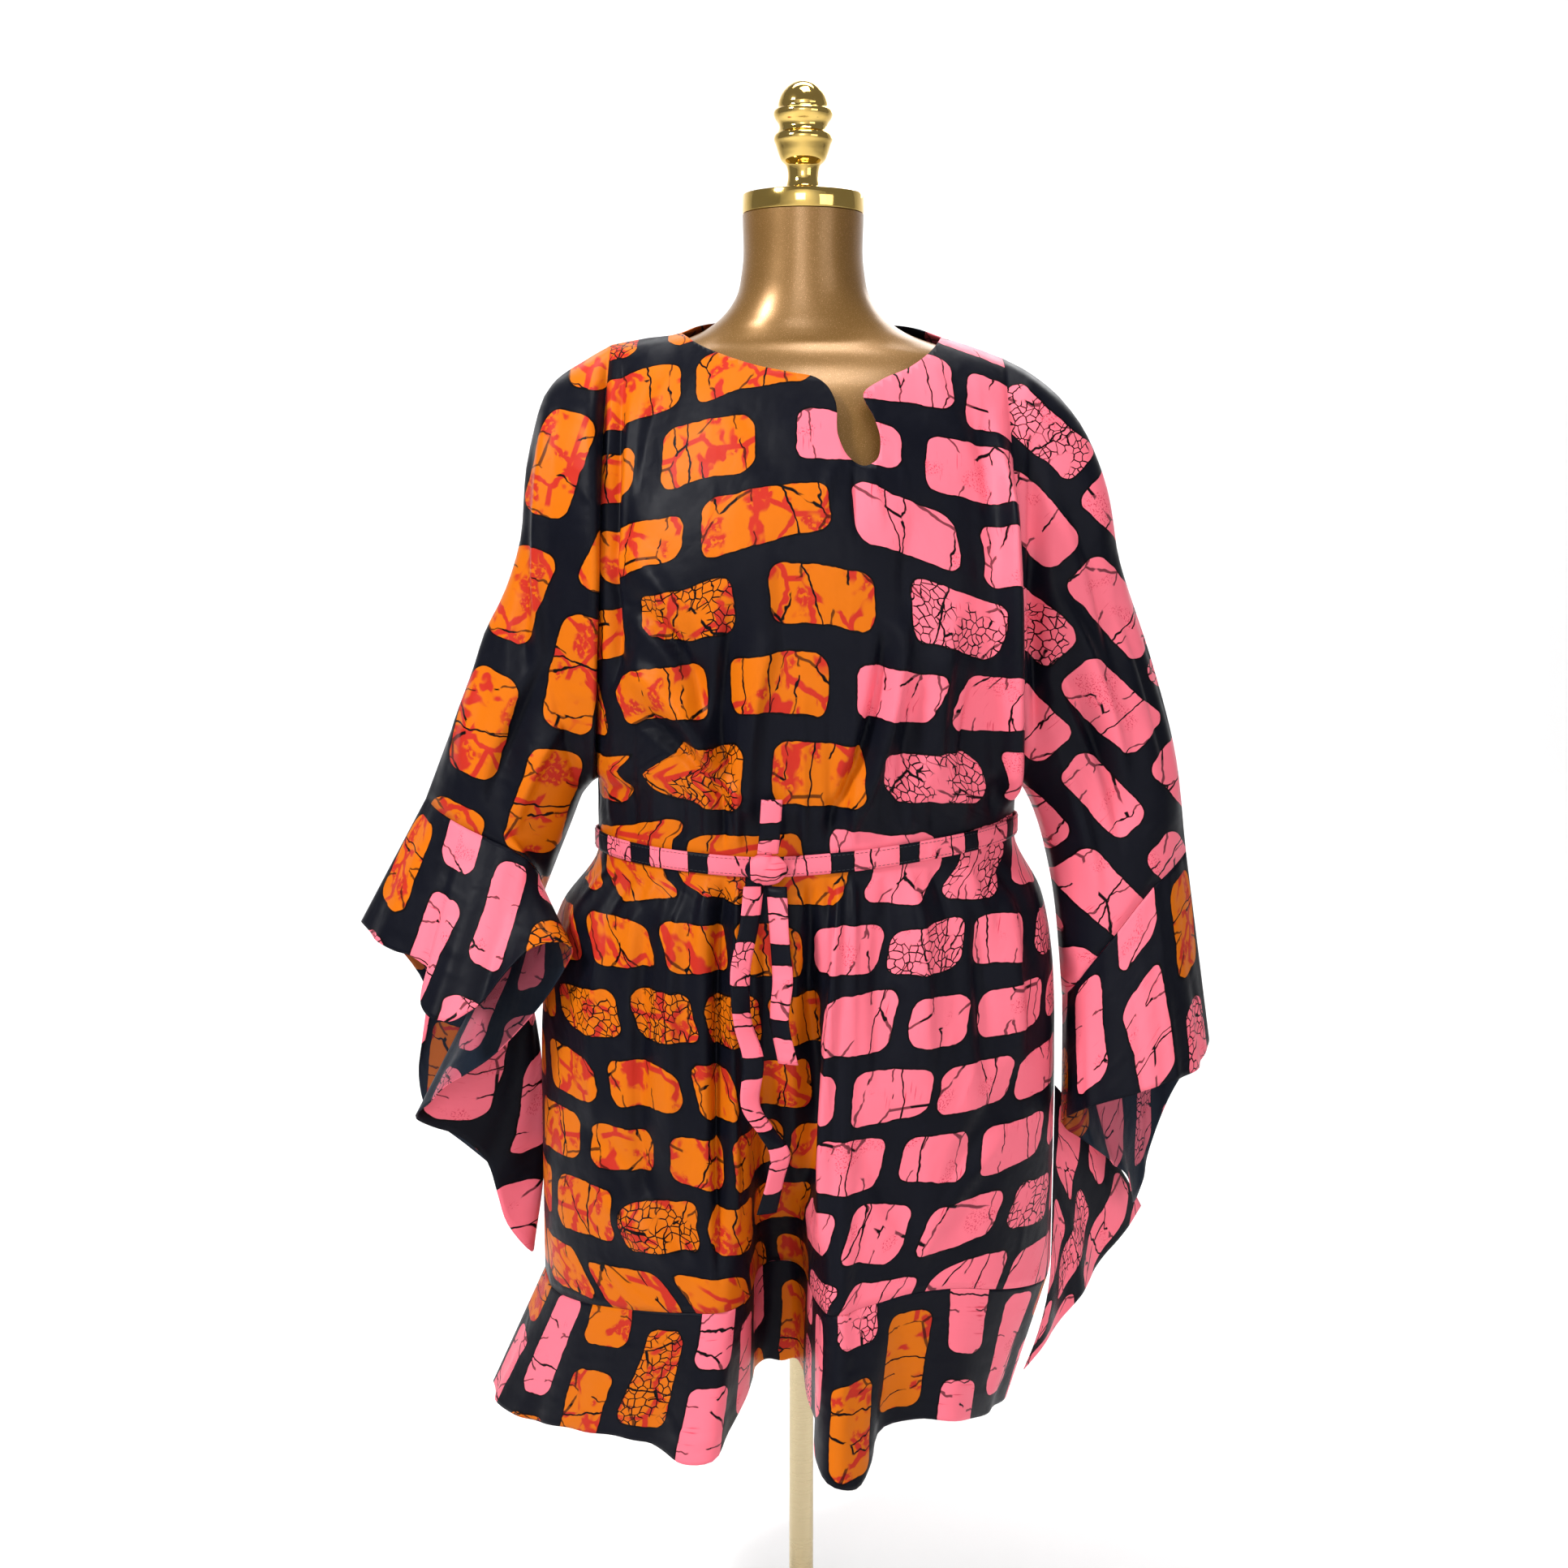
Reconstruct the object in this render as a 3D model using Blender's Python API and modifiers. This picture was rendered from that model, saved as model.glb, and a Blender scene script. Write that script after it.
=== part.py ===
# A short belted boubou tunic, worn by a limbless dress form on a round-based stand.
# The cloth is cut as two wide panels with grown-on wing sleeves, a flounce round each sleeve end,
# a flounce round the hem and one down the wearer's left side, and a tie belt.
# Metres, +Z up, front towards -Y. The origin is the middle of the stand's underside.

import math

import bmesh
import bpy
import numpy as np
from mathutils import Matrix

# Cloth
WALL = 0.0016
SEAM_GAP = 0.0003
SEAM_EDGE = 0.0005
SEAM_HALF = 0.0007
SIDE_OUT = 0.0020
SIDE_BEHIND = 0.0022
SIDE_BELLY = 0.007

# Heights of the garment
UNDERARM_Z = 0.965
BELT_HALF = 0.0095
BELT_WALL = 0.0018

# Half widths of the body between the two armholes, to the wearer's right (-) and left (+)
SHOULDER_X = {-1: 0.182, 1: 0.190}
WAIST_X = {-1: 0.201, 1: 0.209}
ARMHOLE_DEPTH = 0.075

# Rows down the panels
ARM_ROWS = 10
SKIRT_ROWS = 8
FLOUNCE_ROWS = 5
WAIST_ROWS = 2

# Stand and form
BASE_RADIUS = 0.190
BASE_HEIGHT = 0.014
POLE_RADIUS = 0.0125
FORM_BOTTOM = 0.722
FORM_TOP = 1.5015
CAP_RADIUS = 0.0575
CAP_BOTTOM = 1.502
CAP_HEIGHT = 0.018

# Shoulder line: x, height of the fold between front and back
SHOULDER_LINE = [
    (-0.182, 1.3815),
    (-0.150, 1.3875),
    (-0.115, 1.3930),
    (-0.084, 1.4085),
    (-0.040, 1.4250),
    (0.000, 1.4300),
    (0.045, 1.4230),
    (0.090, 1.4055),
    (0.131, 1.3890),
    (0.160, 1.3800),
    (0.190, 1.3690),
]

# Depth of the body's middle below the shoulder line: drop, front, back
BODY_DEPTH = [
    (0.000, 0.000, 0.000),
    (0.009, 0.034, 0.045),
    (0.020, 0.052, 0.064),
    (0.036, 0.069, 0.075),
    (0.078, 0.098, 0.090),
    (0.131, 0.122, 0.100),
    (0.190, 0.141, 0.110),
    (0.250, 0.152, 0.115),
    (0.310, 0.152, 0.115),
    (0.370, 0.148, 0.113),
    (0.440, 0.143, 0.113),
]
BELT_DEPTH = {"front": 0.130, "back": 0.112}

# Belt line: place across the body, height
BELT_LINE = [(-1.0, 0.907), (-0.6, 0.903), (-0.15, 0.900), (0.2, 0.905), (0.6, 0.914), (1.0, 0.921)]

# Front below the belt: place across, hem-seam x, y, z, hem x, y, z.
# The rows from -0.27 to 0.06 are the deep inverted fold at the centre front.
FRONT_FOLDS = [
    (-1.00, -0.262, 0.000, 0.459, -0.318, 0.000, 0.335),
    (-0.94, -0.250, -0.050, 0.459, -0.300, -0.050, 0.331),
    (-0.86, -0.225, -0.090, 0.463, -0.268, -0.085, 0.333),
    (-0.74, -0.188, -0.125, 0.470, -0.225, -0.112, 0.340),
    (-0.60, -0.145, -0.150, 0.476, -0.180, -0.140, 0.346),
    (-0.46, -0.105, -0.165, 0.481, -0.135, -0.165, 0.344),
    (-0.34, -0.070, -0.170, 0.485, -0.088, -0.182, 0.343),
    (-0.27, -0.052, -0.135, 0.483, -0.056, -0.115, 0.370),
    (-0.20, -0.044, -0.060, 0.480, -0.045, -0.045, 0.374),
    (-0.10, -0.022, -0.035, 0.480, -0.020, -0.030, 0.371),
    (0.00, 0.002, -0.060, 0.480, 0.000, -0.050, 0.374),
    (0.06, 0.010, -0.135, 0.485, 0.006, -0.130, 0.365),
    (0.12, 0.022, -0.188, 0.490, 0.014, -0.205, 0.352),
    (0.24, 0.050, -0.185, 0.493, 0.048, -0.222, 0.335),
    (0.40, 0.095, -0.168, 0.500, 0.080, -0.170, 0.368),
    (0.60, 0.150, -0.145, 0.497, 0.136, -0.150, 0.368),
    (0.80, 0.206, -0.105, 0.480, 0.178, -0.110, 0.352),
    (0.92, 0.242, -0.055, 0.470, 0.203, -0.062, 0.345),
    (1.00, 0.254, 0.000, 0.468, 0.214, 0.000, 0.340),
]

FOLD_EDGES = (-0.34, 0.12)
FOLD_START = 0.30

# Back below the belt, with the same columns
BACK_FOLDS = [
    (-1.00, -0.262, 0.000, 0.459, -0.318, 0.000, 0.335),
    (-0.90, -0.245, 0.060, 0.460, -0.295, 0.065, 0.325),
    (-0.75, -0.200, 0.105, 0.465, -0.235, 0.125, 0.318),
    (-0.60, -0.155, 0.135, 0.470, -0.170, 0.135, 0.322),
    (-0.45, -0.115, 0.150, 0.475, -0.135, 0.175, 0.318),
    (-0.30, -0.075, 0.155, 0.475, -0.080, 0.150, 0.324),
    (-0.15, -0.040, 0.160, 0.475, -0.040, 0.185, 0.320),
    (0.00, 0.000, 0.155, 0.475, 0.000, 0.150, 0.325),
    (0.15, 0.040, 0.160, 0.475, 0.045, 0.180, 0.320),
    (0.30, 0.075, 0.155, 0.475, 0.085, 0.150, 0.324),
    (0.45, 0.115, 0.150, 0.475, 0.125, 0.170, 0.318),
    (0.60, 0.155, 0.135, 0.470, 0.165, 0.130, 0.322),
    (0.75, 0.200, 0.105, 0.467, 0.200, 0.115, 0.320),
    (0.90, 0.242, 0.060, 0.468, 0.218, 0.060, 0.330),
    (1.00, 0.254, 0.000, 0.468, 0.214, 0.000, 0.340),
]

# Wing sleeves from the armhole outwards: top x, top z, underarm x, underarm z, half depth
WING_RINGS = {
    -1: [
        (-0.206, 1.368, -0.206, 0.962, 0.080),
        (-0.240, 1.344, -0.210, 0.958, 0.078),
        (-0.262, 1.285, -0.215, 0.952, 0.072),
        (-0.275, 1.185, -0.219, 0.945, 0.068),
        (-0.310, 1.095, -0.228, 0.922, 0.066),
        (-0.345, 1.010, -0.245, 0.880, 0.064),
    ],
    1: [
        (0.212, 1.358, 0.213, 0.962, 0.072),
        (0.246, 1.332, 0.216, 0.958, 0.070),
        (0.285, 1.265, 0.221, 0.950, 0.066),
        (0.306, 1.180, 0.228, 0.935, 0.062),
        (0.338, 1.088, 0.238, 0.905, 0.058),
        (0.364, 1.000, 0.250, 0.850, 0.055),
    ],
}

# Fold beside each armhole, on the front: how far in or out, how far forward
SLEEVE_FOLD = {-1: (0.014, 0.022), 1: (0.012, 0.028)}

# Sleeve ends, round from the outer top by the front: seam x, y, z, hem x, y, z, belly in x between them
SLEEVE_FLOUNCES = {
    -1: [
        (0.00, -0.371, 0.000, 0.944, -0.437, -0.010, 0.822, 0.0),
        (0.06, -0.352, -0.035, 0.936, -0.403, -0.060, 0.808, 0.0),
        (0.12, -0.332, -0.052, 0.928, -0.364, -0.088, 0.798, 0.0),
        (0.18, -0.308, -0.063, 0.918, -0.360, -0.112, 0.762, 0.0),
        (0.24, -0.284, -0.070, 0.909, -0.332, -0.128, 0.752, 0.0),
        (0.30, -0.264, -0.070, 0.897, -0.298, -0.125, 0.775, 0.0),
        (0.35, -0.255, -0.060, 0.882, -0.255, -0.118, 0.820, 0.0),
        (0.39, -0.252, -0.048, 0.868, -0.219, -0.108, 0.822, 0.0),
        (0.43, -0.254, -0.032, 0.852, -0.228, -0.098, 0.792, 0.0),
        (0.47, -0.258, -0.014, 0.840, -0.262, -0.088, 0.744, 0.0),
        (0.50, -0.263, 0.000, 0.834, -0.302, -0.078, 0.702, 0.0),
        (0.55, -0.272, 0.018, 0.830, -0.350, -0.060, 0.668, 0.0),
        (0.60, -0.283, 0.030, 0.832, -0.386, -0.020, 0.622, 0.0),
        (0.65, -0.295, 0.038, 0.838, -0.352, 0.000, 0.600, 0.004),
        (0.70, -0.306, 0.044, 0.846, -0.320, 0.010, 0.565, 0.010),
        (0.75, -0.316, 0.048, 0.856, -0.303, 0.022, 0.495, 0.016),
        (0.79, -0.325, 0.049, 0.867, -0.275, 0.042, 0.456, 0.016),
        (0.83, -0.335, 0.048, 0.880, -0.318, 0.075, 0.530, 0.008),
        (0.87, -0.345, 0.042, 0.895, -0.390, 0.082, 0.590, 0.0),
        (0.91, -0.354, 0.034, 0.910, -0.400, 0.070, 0.655, 0.0),
        (0.95, -0.363, 0.020, 0.926, -0.384, 0.050, 0.730, 0.0),
        (0.98, -0.368, 0.008, 0.938, -0.408, 0.018, 0.790, 0.0),
    ],
    1: [
        (0.00, 0.380, 0.000, 0.891, 0.407, -0.010, 0.702, 0.0),
        (0.08, 0.362, -0.030, 0.880, 0.390, -0.052, 0.685, 0.0),
        (0.16, 0.338, -0.047, 0.862, 0.355, -0.080, 0.680, 0.0),
        (0.25, 0.308, -0.054, 0.825, 0.325, -0.092, 0.672, 0.0),
        (0.34, 0.281, -0.048, 0.787, 0.286, -0.085, 0.658, 0.0),
        (0.42, 0.266, -0.032, 0.760, 0.264, -0.060, 0.640, 0.0),
        (0.50, 0.261, 0.000, 0.745, 0.262, -0.015, 0.615, 0.0),
        (0.57, 0.267, 0.022, 0.755, 0.286, -0.032, 0.600, -0.004),
        (0.64, 0.284, 0.037, 0.775, 0.312, -0.008, 0.575, -0.010),
        (0.70, 0.305, 0.048, 0.800, 0.334, 0.012, 0.550, -0.008),
        (0.76, 0.326, 0.054, 0.830, 0.346, 0.040, 0.512, 0.0),
        (0.82, 0.347, 0.052, 0.854, 0.361, 0.060, 0.552, 0.0),
        (0.88, 0.363, 0.041, 0.872, 0.376, 0.055, 0.605, 0.0),
        (0.94, 0.375, 0.022, 0.885, 0.394, 0.030, 0.665, 0.0),
    ],
}

# Flounce down the wearer's left side: height on the side seam, hem x, y, z
SIDE_FLOUNCE = [
    (0.650, 0.362, 0.085, 0.492),
    (0.615, 0.342, 0.070, 0.468),
    (0.580, 0.316, 0.078, 0.430),
    (0.550, 0.296, 0.050, 0.408),
    (0.520, 0.272, 0.056, 0.374),
    (0.495, 0.252, 0.026, 0.360),
    (0.475, 0.232, 0.020, 0.338),
]

# Tie belt: centre of each loose end, x, y, z, turn of the strip in degrees
TIE_TAILS = {
    "tie_tail_long": [
        (-0.046, -0.1450, 0.8847, 15),
        (-0.050, -0.156, 0.850, 25),
        (-0.058, -0.166, 0.810, 20),
        (-0.056, -0.173, 0.765, 35),
        (-0.046, -0.180, 0.730, 10),
        (-0.049, -0.184, 0.690, 30),
        (-0.034, -0.188, 0.665, 40),
        (-0.022, -0.190, 0.645, 20),
        (-0.026, -0.190, 0.620, 35),
        (-0.034, -0.190, 0.588, 20),
    ],
    "tie_tail_short": [
        (-0.0245, -0.1450, 0.8847, -15),
        (-0.022, -0.158, 0.840, -25),
        (-0.019, -0.164, 0.800, -15),
        (-0.022, -0.170, 0.765, -30),
        (-0.014, -0.175, 0.725, -20),
    ],
    "tie_end_up": [
        (-0.033, -0.1440, 0.9150, 5),
        (-0.031, -0.149, 0.935, 0),
        (-0.029, -0.151, 0.966, 0),
    ],
}
TIE_WIDTH = 0.019
KNOT = {"x": -0.034, "y": -0.1424, "z": 0.900, "rx": 0.020, "ry": 0.0095, "rz": 0.015}

# Dress form: height, half width, front depth, back depth, squareness
FORM_SECTIONS = [
    (0.722, 0.118, 0.072, 0.080, 2.2),
    (0.734, 0.148, 0.096, 0.104, 2.3),
    (0.790, 0.166, 0.106, 0.116, 2.4),
    (0.850, 0.164, 0.104, 0.110, 2.4),
    (0.930, 0.142, 0.096, 0.088, 2.3),
    (1.020, 0.144, 0.106, 0.086, 2.3),
    (1.090, 0.153, 0.128, 0.090, 2.3),
    (1.150, 0.160, 0.140, 0.092, 2.2),
    (1.210, 0.170, 0.133, 0.090, 2.1),
    (1.270, 0.188, 0.117, 0.084, 2.0),
    (1.310, 0.198, 0.104, 0.074, 1.9),
    (1.338, 0.198, 0.090, 0.064, 1.8),
    (1.356, 0.186, 0.078, 0.060, 1.8),
    (1.371, 0.163, 0.070, 0.057, 1.8),
    (1.380, 0.132, 0.064, 0.056, 1.9),
    (1.391, 0.101, 0.061, 0.056, 2.0),
    (1.402, 0.083, 0.060, 0.057, 2.0),
    (1.411, 0.0735, 0.059, 0.058, 2.0),
    (1.424, 0.0645, 0.058, 0.058, 2.0),
    (1.450, 0.0580, 0.0575, 0.0575, 2.0),
    (FORM_TOP, 0.0572, 0.0572, 0.0572, 2.0),
]

# Finial, turned: radius, height above the cap
FINIAL_PROFILE = [
    (0.0, 0.1035),
    (0.0075, 0.1025),
    (0.0145, 0.0985),
    (0.0205, 0.0915),
    (0.0235, 0.0830),
    (0.0240, 0.0780),
    (0.0272, 0.0765),
    (0.0280, 0.0730),
    (0.0268, 0.0695),
    (0.0232, 0.0640),
    (0.0226, 0.0610),
    (0.0240, 0.0575),
    (0.0272, 0.0535),
    (0.0278, 0.0500),
    (0.0262, 0.0460),
    (0.0236, 0.0380),
    (0.0205, 0.0310),
    (0.0160, 0.0265),
    (0.0152, 0.0240),
    (0.0152, 0.0110),
    (0.0165, 0.0075),
    (0.0195, 0.0040),
    (0.0200, 0.0003),
    (0.0, 0.0003),
]

# Neck opening: x, height of the front neckline and its slit
FRONT_NECK = [
    (-0.1165, 1.393),
    (-0.098, 1.379),
    (-0.075, 1.368),
    (-0.043, 1.357),
    (-0.010, 1.350),
    (0.012, 1.345),
    (0.021, 1.338),
    (0.028, 1.325),
    (0.031, 1.292),
    (0.041, 1.273),
    (0.054, 1.266),
    (0.065, 1.271),
    (0.069, 1.288),
    (0.064, 1.308),
    (0.054, 1.331),
    (0.071, 1.344),
    (0.097, 1.356),
    (0.120, 1.374),
    (0.132, 1.389),
]
BACK_NECK = [
    (-0.1165, 1.393),
    (-0.098, 1.400),
    (-0.080, 1.405),
    (-0.045, 1.405),
    (0.000, 1.404),
    (0.045, 1.404),
    (0.088, 1.402),
    (0.112, 1.396),
    (0.132, 1.389),
]

COLOURS = {
    "print": (0.55, 0.16, 0.06),
    "print_pink": (0.80, 0.22, 0.30),
    "form": (0.30, 0.14, 0.05),
    "gold": (0.80, 0.58, 0.20),
    "steel": (0.62, 0.50, 0.30),
}


def clear_scene():
    for old in list(bpy.data.objects):
        bpy.data.objects.remove(old, do_unlink=True)


def make_collection(name):
    group = bpy.data.collections.new(name)
    bpy.context.scene.collection.children.link(group)
    return group


def make_material(name, colour, roughness, metallic=0.0):
    material = bpy.data.materials.new(name)
    material.use_nodes = True
    shader = material.node_tree.nodes["Principled BSDF"]
    shader.inputs["Base Color"].default_value = (*colour, 1.0)
    shader.inputs["Roughness"].default_value = roughness
    shader.inputs["Metallic"].default_value = metallic
    material.diffuse_color = (*colour, 1.0)
    return material


def smooth_through(knots, values, places):
    """Smooth curve through values at rising knots, read at places."""
    knots = np.asarray(knots, float)
    values = np.asarray(values, float)
    if values.ndim == 1:
        values = values[:, None]
    steps = np.diff(knots)
    slopes = np.diff(values, axis=0) / steps[:, None]
    tangents = np.empty_like(values)
    tangents[0] = slopes[0]
    tangents[-1] = slopes[-1]
    before = steps[:-1, None]
    after = steps[1:, None]
    tangents[1:-1] = (slopes[:-1] * after + slopes[1:] * before) / (before + after)
    places = np.atleast_1d(places)
    spot = np.clip(np.searchsorted(knots, places, side="right") - 1, 0, len(steps) - 1)
    width = steps[spot][:, None]
    t = ((places - knots[spot]) / steps[spot])[:, None]
    start = values[spot]
    end = values[spot + 1]
    result = (2 * t**3 - 3 * t**2 + 1) * start + (t**3 - 2 * t**2 + t) * width * tangents[spot]
    return result + (3 * t**2 - 2 * t**3) * end + (t**3 - t**2) * width * tangents[spot + 1]


def columns_of(table):
    """Places across a panel: each row of its table and the middle between two rows."""
    rows = [row[0] for row in table]
    middles = [(first + second) / 2 for first, second in zip(rows, rows[1:])]
    return np.array(sorted(rows + middles))


def arm_fraction(step):
    return (1 - math.cos(math.pi * step / ARM_ROWS)) / 2


def body_panel(side):
    """Points of the front or back between the armholes: a row for each height, top to hem seam."""
    table = FRONT_FOLDS if side == "front" else BACK_FOLDS
    sign = -1 if side == "front" else 1
    depth_column = 1 if side == "front" else 2
    across = columns_of(table)
    crown = np.power(np.clip(1 - np.abs(across) ** 2.6, 0, 1), 0.6)
    shoulder_x = np.where(across < 0, across * SHOULDER_X[-1], across * SHOULDER_X[1])
    waist_x = np.where(across < 0, across * WAIST_X[-1], across * WAIST_X[1])
    ridge = smooth_through([r[0] for r in SHOULDER_LINE], [r[1] for r in SHOULDER_LINE], shoulder_x)[:, 0]
    belt_z = smooth_through([r[0] for r in BELT_LINE], [r[1] for r in BELT_LINE], across)[:, 0]
    folds = smooth_through([r[0] for r in table], [r[1:4] for r in table], across)
    drops = [r[0] for r in BODY_DEPTH]
    depths = [r[depth_column] for r in BODY_DEPTH]
    rows = []
    for step in range(ARM_ROWS + 1):
        part = arm_fraction(step)
        z = ridge + (UNDERARM_Z - ridge) * part
        x = shoulder_x + (waist_x - shoulder_x) * part
        middle = smooth_through(drops, depths, ridge - z)[:, 0]
        edge = ARMHOLE_DEPTH * math.sin(math.pi * part) ** 0.5 if 0 < step < ARM_ROWS else 0.0
        y = edge + (middle - edge) * crown
        if side == "front":
            strength = np.clip((1.31 - z) / 0.08, 0, 1)
            bump = np.exp(-(((across - 0.93) / 0.05) ** 2)) * strength
            x = x + bump * SLEEVE_FOLD[1][0]
            y = y + bump * SLEEVE_FOLD[1][1]
        rows.append(np.stack([x, sign * y, z], axis=1))
    belt_y = sign * BELT_DEPTH[side] * crown
    for offset in (BELT_HALF + 0.003, -BELT_HALF - 0.003):
        rows.append(np.stack([waist_x, belt_y, belt_z + offset], axis=1))
    low_belt = rows[-1]
    shut = folds[:, 1].copy()
    if side == "front":
        inside = (across > FOLD_EDGES[0]) & (across < FOLD_EDGES[1])
        edges = np.interp(FOLD_EDGES, across, shut)
        shut[inside] = np.interp(across[inside], FOLD_EDGES, edges)
    for step in range(1, SKIRT_ROWS + 1):
        part = step / SKIRT_ROWS
        flare = 1 - (1 - part) ** 7
        opened = max(0.0, (part - FOLD_START) / (1 - FOLD_START))
        target = shut + (folds[:, 1] - shut) * opened**0.9
        row = low_belt + (folds - low_belt) * flare
        row[:, 1] = low_belt[:, 1] + (target - low_belt[:, 1]) * part**0.7
        row[:, 2] = low_belt[:, 2] + (folds[:, 2] - low_belt[:, 2]) * part
        rows.append(row)
    return keep_off_middle(np.array(rows), sign)


def keep_off_middle(points, sign):
    """Front and back stop just short of the plane where they are sewn together."""
    points = points.copy()
    points[..., 1] = sign * np.maximum(points[..., 1] * sign, SEAM_HALF)
    return points


def cuff_points(hand, count):
    """The sleeve's end, round from its outer top by the front, as a closed polyline."""
    table = SLEEVE_FLOUNCES[hand]
    knots = [r[0] for r in table] + [1.0]
    values = [r[1:4] for r in table] + [table[0][1:4]]
    corners = smooth_through(knots, values, np.linspace(0, 1, 2 * ARM_ROWS + 1))
    places = np.linspace(0, 2 * ARM_ROWS, count + 1)
    index = np.arange(2 * ARM_ROWS + 1)
    return np.stack([np.interp(places, index, corners[:, axis]) for axis in range(3)], axis=1)


def wing_panel(side, hand, armhole):
    """Points of one layer of a wing sleeve, a row for each step down the armhole."""
    sign = -1 if side == "front" else 1
    cuff = cuff_points(hand, 2 * ARM_ROWS)
    rows = []
    for step in range(ARM_ROWS + 1):
        part = arm_fraction(step)
        swing = math.sin(math.pi * step / ARM_ROWS)
        row = [armhole[step]]
        for number, (top_x, top_z, low_x, low_z, depth) in enumerate(WING_RINGS[hand]):
            x = top_x + (low_x - top_x) * part
            z = top_z + (low_z - top_z) * part
            y = sign * depth * swing**0.8
            if side == "front" and hand == -1 and number < 2:
                lap = swing * (1.0 if number == 0 else 0.45)
                x = x + SLEEVE_FOLD[-1][0] * lap
                y = y - SLEEVE_FOLD[-1][1] * lap
            row.append(np.array([x, y, z]))
        row.append(cuff[step] if side == "front" else cuff[2 * ARM_ROWS - step])
        rows.append(row)
    return keep_off_middle(np.array(rows), sign)


def unit(vectors):
    return vectors / np.linalg.norm(vectors, axis=1)[:, None]


def seam_reach(before, top, hem):
    """How far down a flounce starts, so that its edge clears the edge it is sewn to."""
    down = unit(hem - top)
    along = unit(np.gradient(top, axis=0))
    turn = np.clip(np.sum(unit(top - before) * down, axis=1), -0.5, 1.0)
    bend = np.sqrt((1 - turn) / (1 + turn))
    slant = np.sqrt(np.clip(1 - np.sum(down * along, axis=1) ** 2, 0.2, 1.0))
    return ((SEAM_EDGE + WALL * bend) / slant)[:, None]


def flounce_grid(before, top, hem, rows, belly=None):
    """Rows from a seam down to a hem, with the first row a seam's gap below it."""
    down = unit(hem - top)
    grid = [top + down * seam_reach(before, top, hem)]
    for step in range(1, rows + 1):
        part = step / rows
        row = top + (hem - top) * part
        if belly is not None:
            row[:, 0] += belly * 4 * part * (1 - part)
        grid.append(row)
    return np.array(grid)


def add_object(name, mesh, group, material):
    thing = bpy.data.objects.new(name, mesh)
    group.objects.link(thing)
    mesh.materials.append(material)
    return thing


def add_cloth(name, grids, group, material, closed=False, wall=WALL):
    """A sewn panel: grids of points that share their edges, given the cloth's thickness."""
    shell = bmesh.new()
    for grid in grids:
        rows, columns = grid.shape[:2]
        corners = [[shell.verts.new(grid[r][c]) for c in range(columns)] for r in range(rows)]
        last = columns if closed else columns - 1
        for r in range(rows - 1):
            for c in range(last):
                after = (c + 1) % columns
                shell.faces.new((corners[r][c], corners[r + 1][c], corners[r + 1][after], corners[r][after]))
    bmesh.ops.remove_doubles(shell, verts=shell.verts, dist=0.00005)
    bmesh.ops.recalc_face_normals(shell, faces=shell.faces)
    mesh = bpy.data.meshes.new(name)
    shell.to_mesh(mesh)
    shell.free()
    mesh.shade_smooth()
    thing = add_object(name, mesh, group, material)
    thickness = thing.modifiers.new("wall", "SOLIDIFY")
    thickness.thickness = wall
    thickness.offset = 0.0
    return thing


def add_cutter(name, outline, near, far, group):
    """A prism through the cloth, from an outline in the front view."""
    cutter = bmesh.new()
    ends = []
    for y in (near, far):
        ends.append([cutter.verts.new((x, y, z)) for x, z in outline])
    cutter.faces.new(ends[0])
    cutter.faces.new(list(reversed(ends[1])))
    for first in range(len(outline)):
        second = (first + 1) % len(outline)
        cutter.faces.new((ends[0][first], ends[1][first], ends[1][second], ends[0][second]))
    bmesh.ops.recalc_face_normals(cutter, faces=cutter.faces)
    mesh = bpy.data.meshes.new(name)
    cutter.to_mesh(mesh)
    cutter.free()
    thing = bpy.data.objects.new(name, mesh)
    group.objects.link(thing)
    thing.hide_render = True
    thing.display_type = "WIRE"
    return thing


def cut(thing, cutter):
    opening = thing.modifiers.new("opening", "BOOLEAN")
    opening.operation = "DIFFERENCE"
    opening.solver = "EXACT"
    opening.object = cutter


def add_turned(name, profile, height, group, material, steps=32):
    """A turned piece from a profile of radius and height, top to bottom."""
    mesh = bpy.data.meshes.new(name)
    points = [(radius, 0.0, z) for radius, z in profile]
    edges = [(number, number + 1) for number in range(len(points) - 1)]
    mesh.from_pydata(points, edges, [])
    thing = add_object(name, mesh, group, material)
    thing.location.z = height
    screw = thing.modifiers.new("turn", "SCREW")
    screw.steps = steps
    screw.render_steps = steps
    screw.use_merge_vertices = True
    screw.merge_threshold = 0.00005
    screw.use_normal_calculate = False
    screw.use_smooth_shade = True
    return thing


def build_form(group, material, around=36):
    """The limbless form: sections from its hip to the top of its neck, closed at both ends."""
    body = bmesh.new()
    rings = []
    for z, half_width, front, back, square in FORM_SECTIONS:
        ring = []
        for step in range(around):
            angle = 2 * math.pi * step / around
            cosine = math.cos(angle)
            sine = math.sin(angle)
            x = half_width * math.copysign(abs(cosine) ** (2 / square), cosine)
            depth = back if sine > 0 else front
            y = depth * math.copysign(abs(sine) ** (2 / square), sine)
            ring.append(body.verts.new((x, y, z)))
        rings.append(ring)
    for low, high in zip(rings, rings[1:]):
        for step in range(around):
            after = (step + 1) % around
            body.faces.new((low[step], low[after], high[after], high[step]))
    body.faces.new(list(reversed(rings[0])))
    body.faces.new(rings[-1])
    mesh = bpy.data.meshes.new("dress_form")
    body.to_mesh(mesh)
    body.free()
    mesh.shade_smooth()
    mesh.set_sharp_from_angle(angle=math.radians(50))
    return add_object("dress_form", mesh, group, material)


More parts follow.
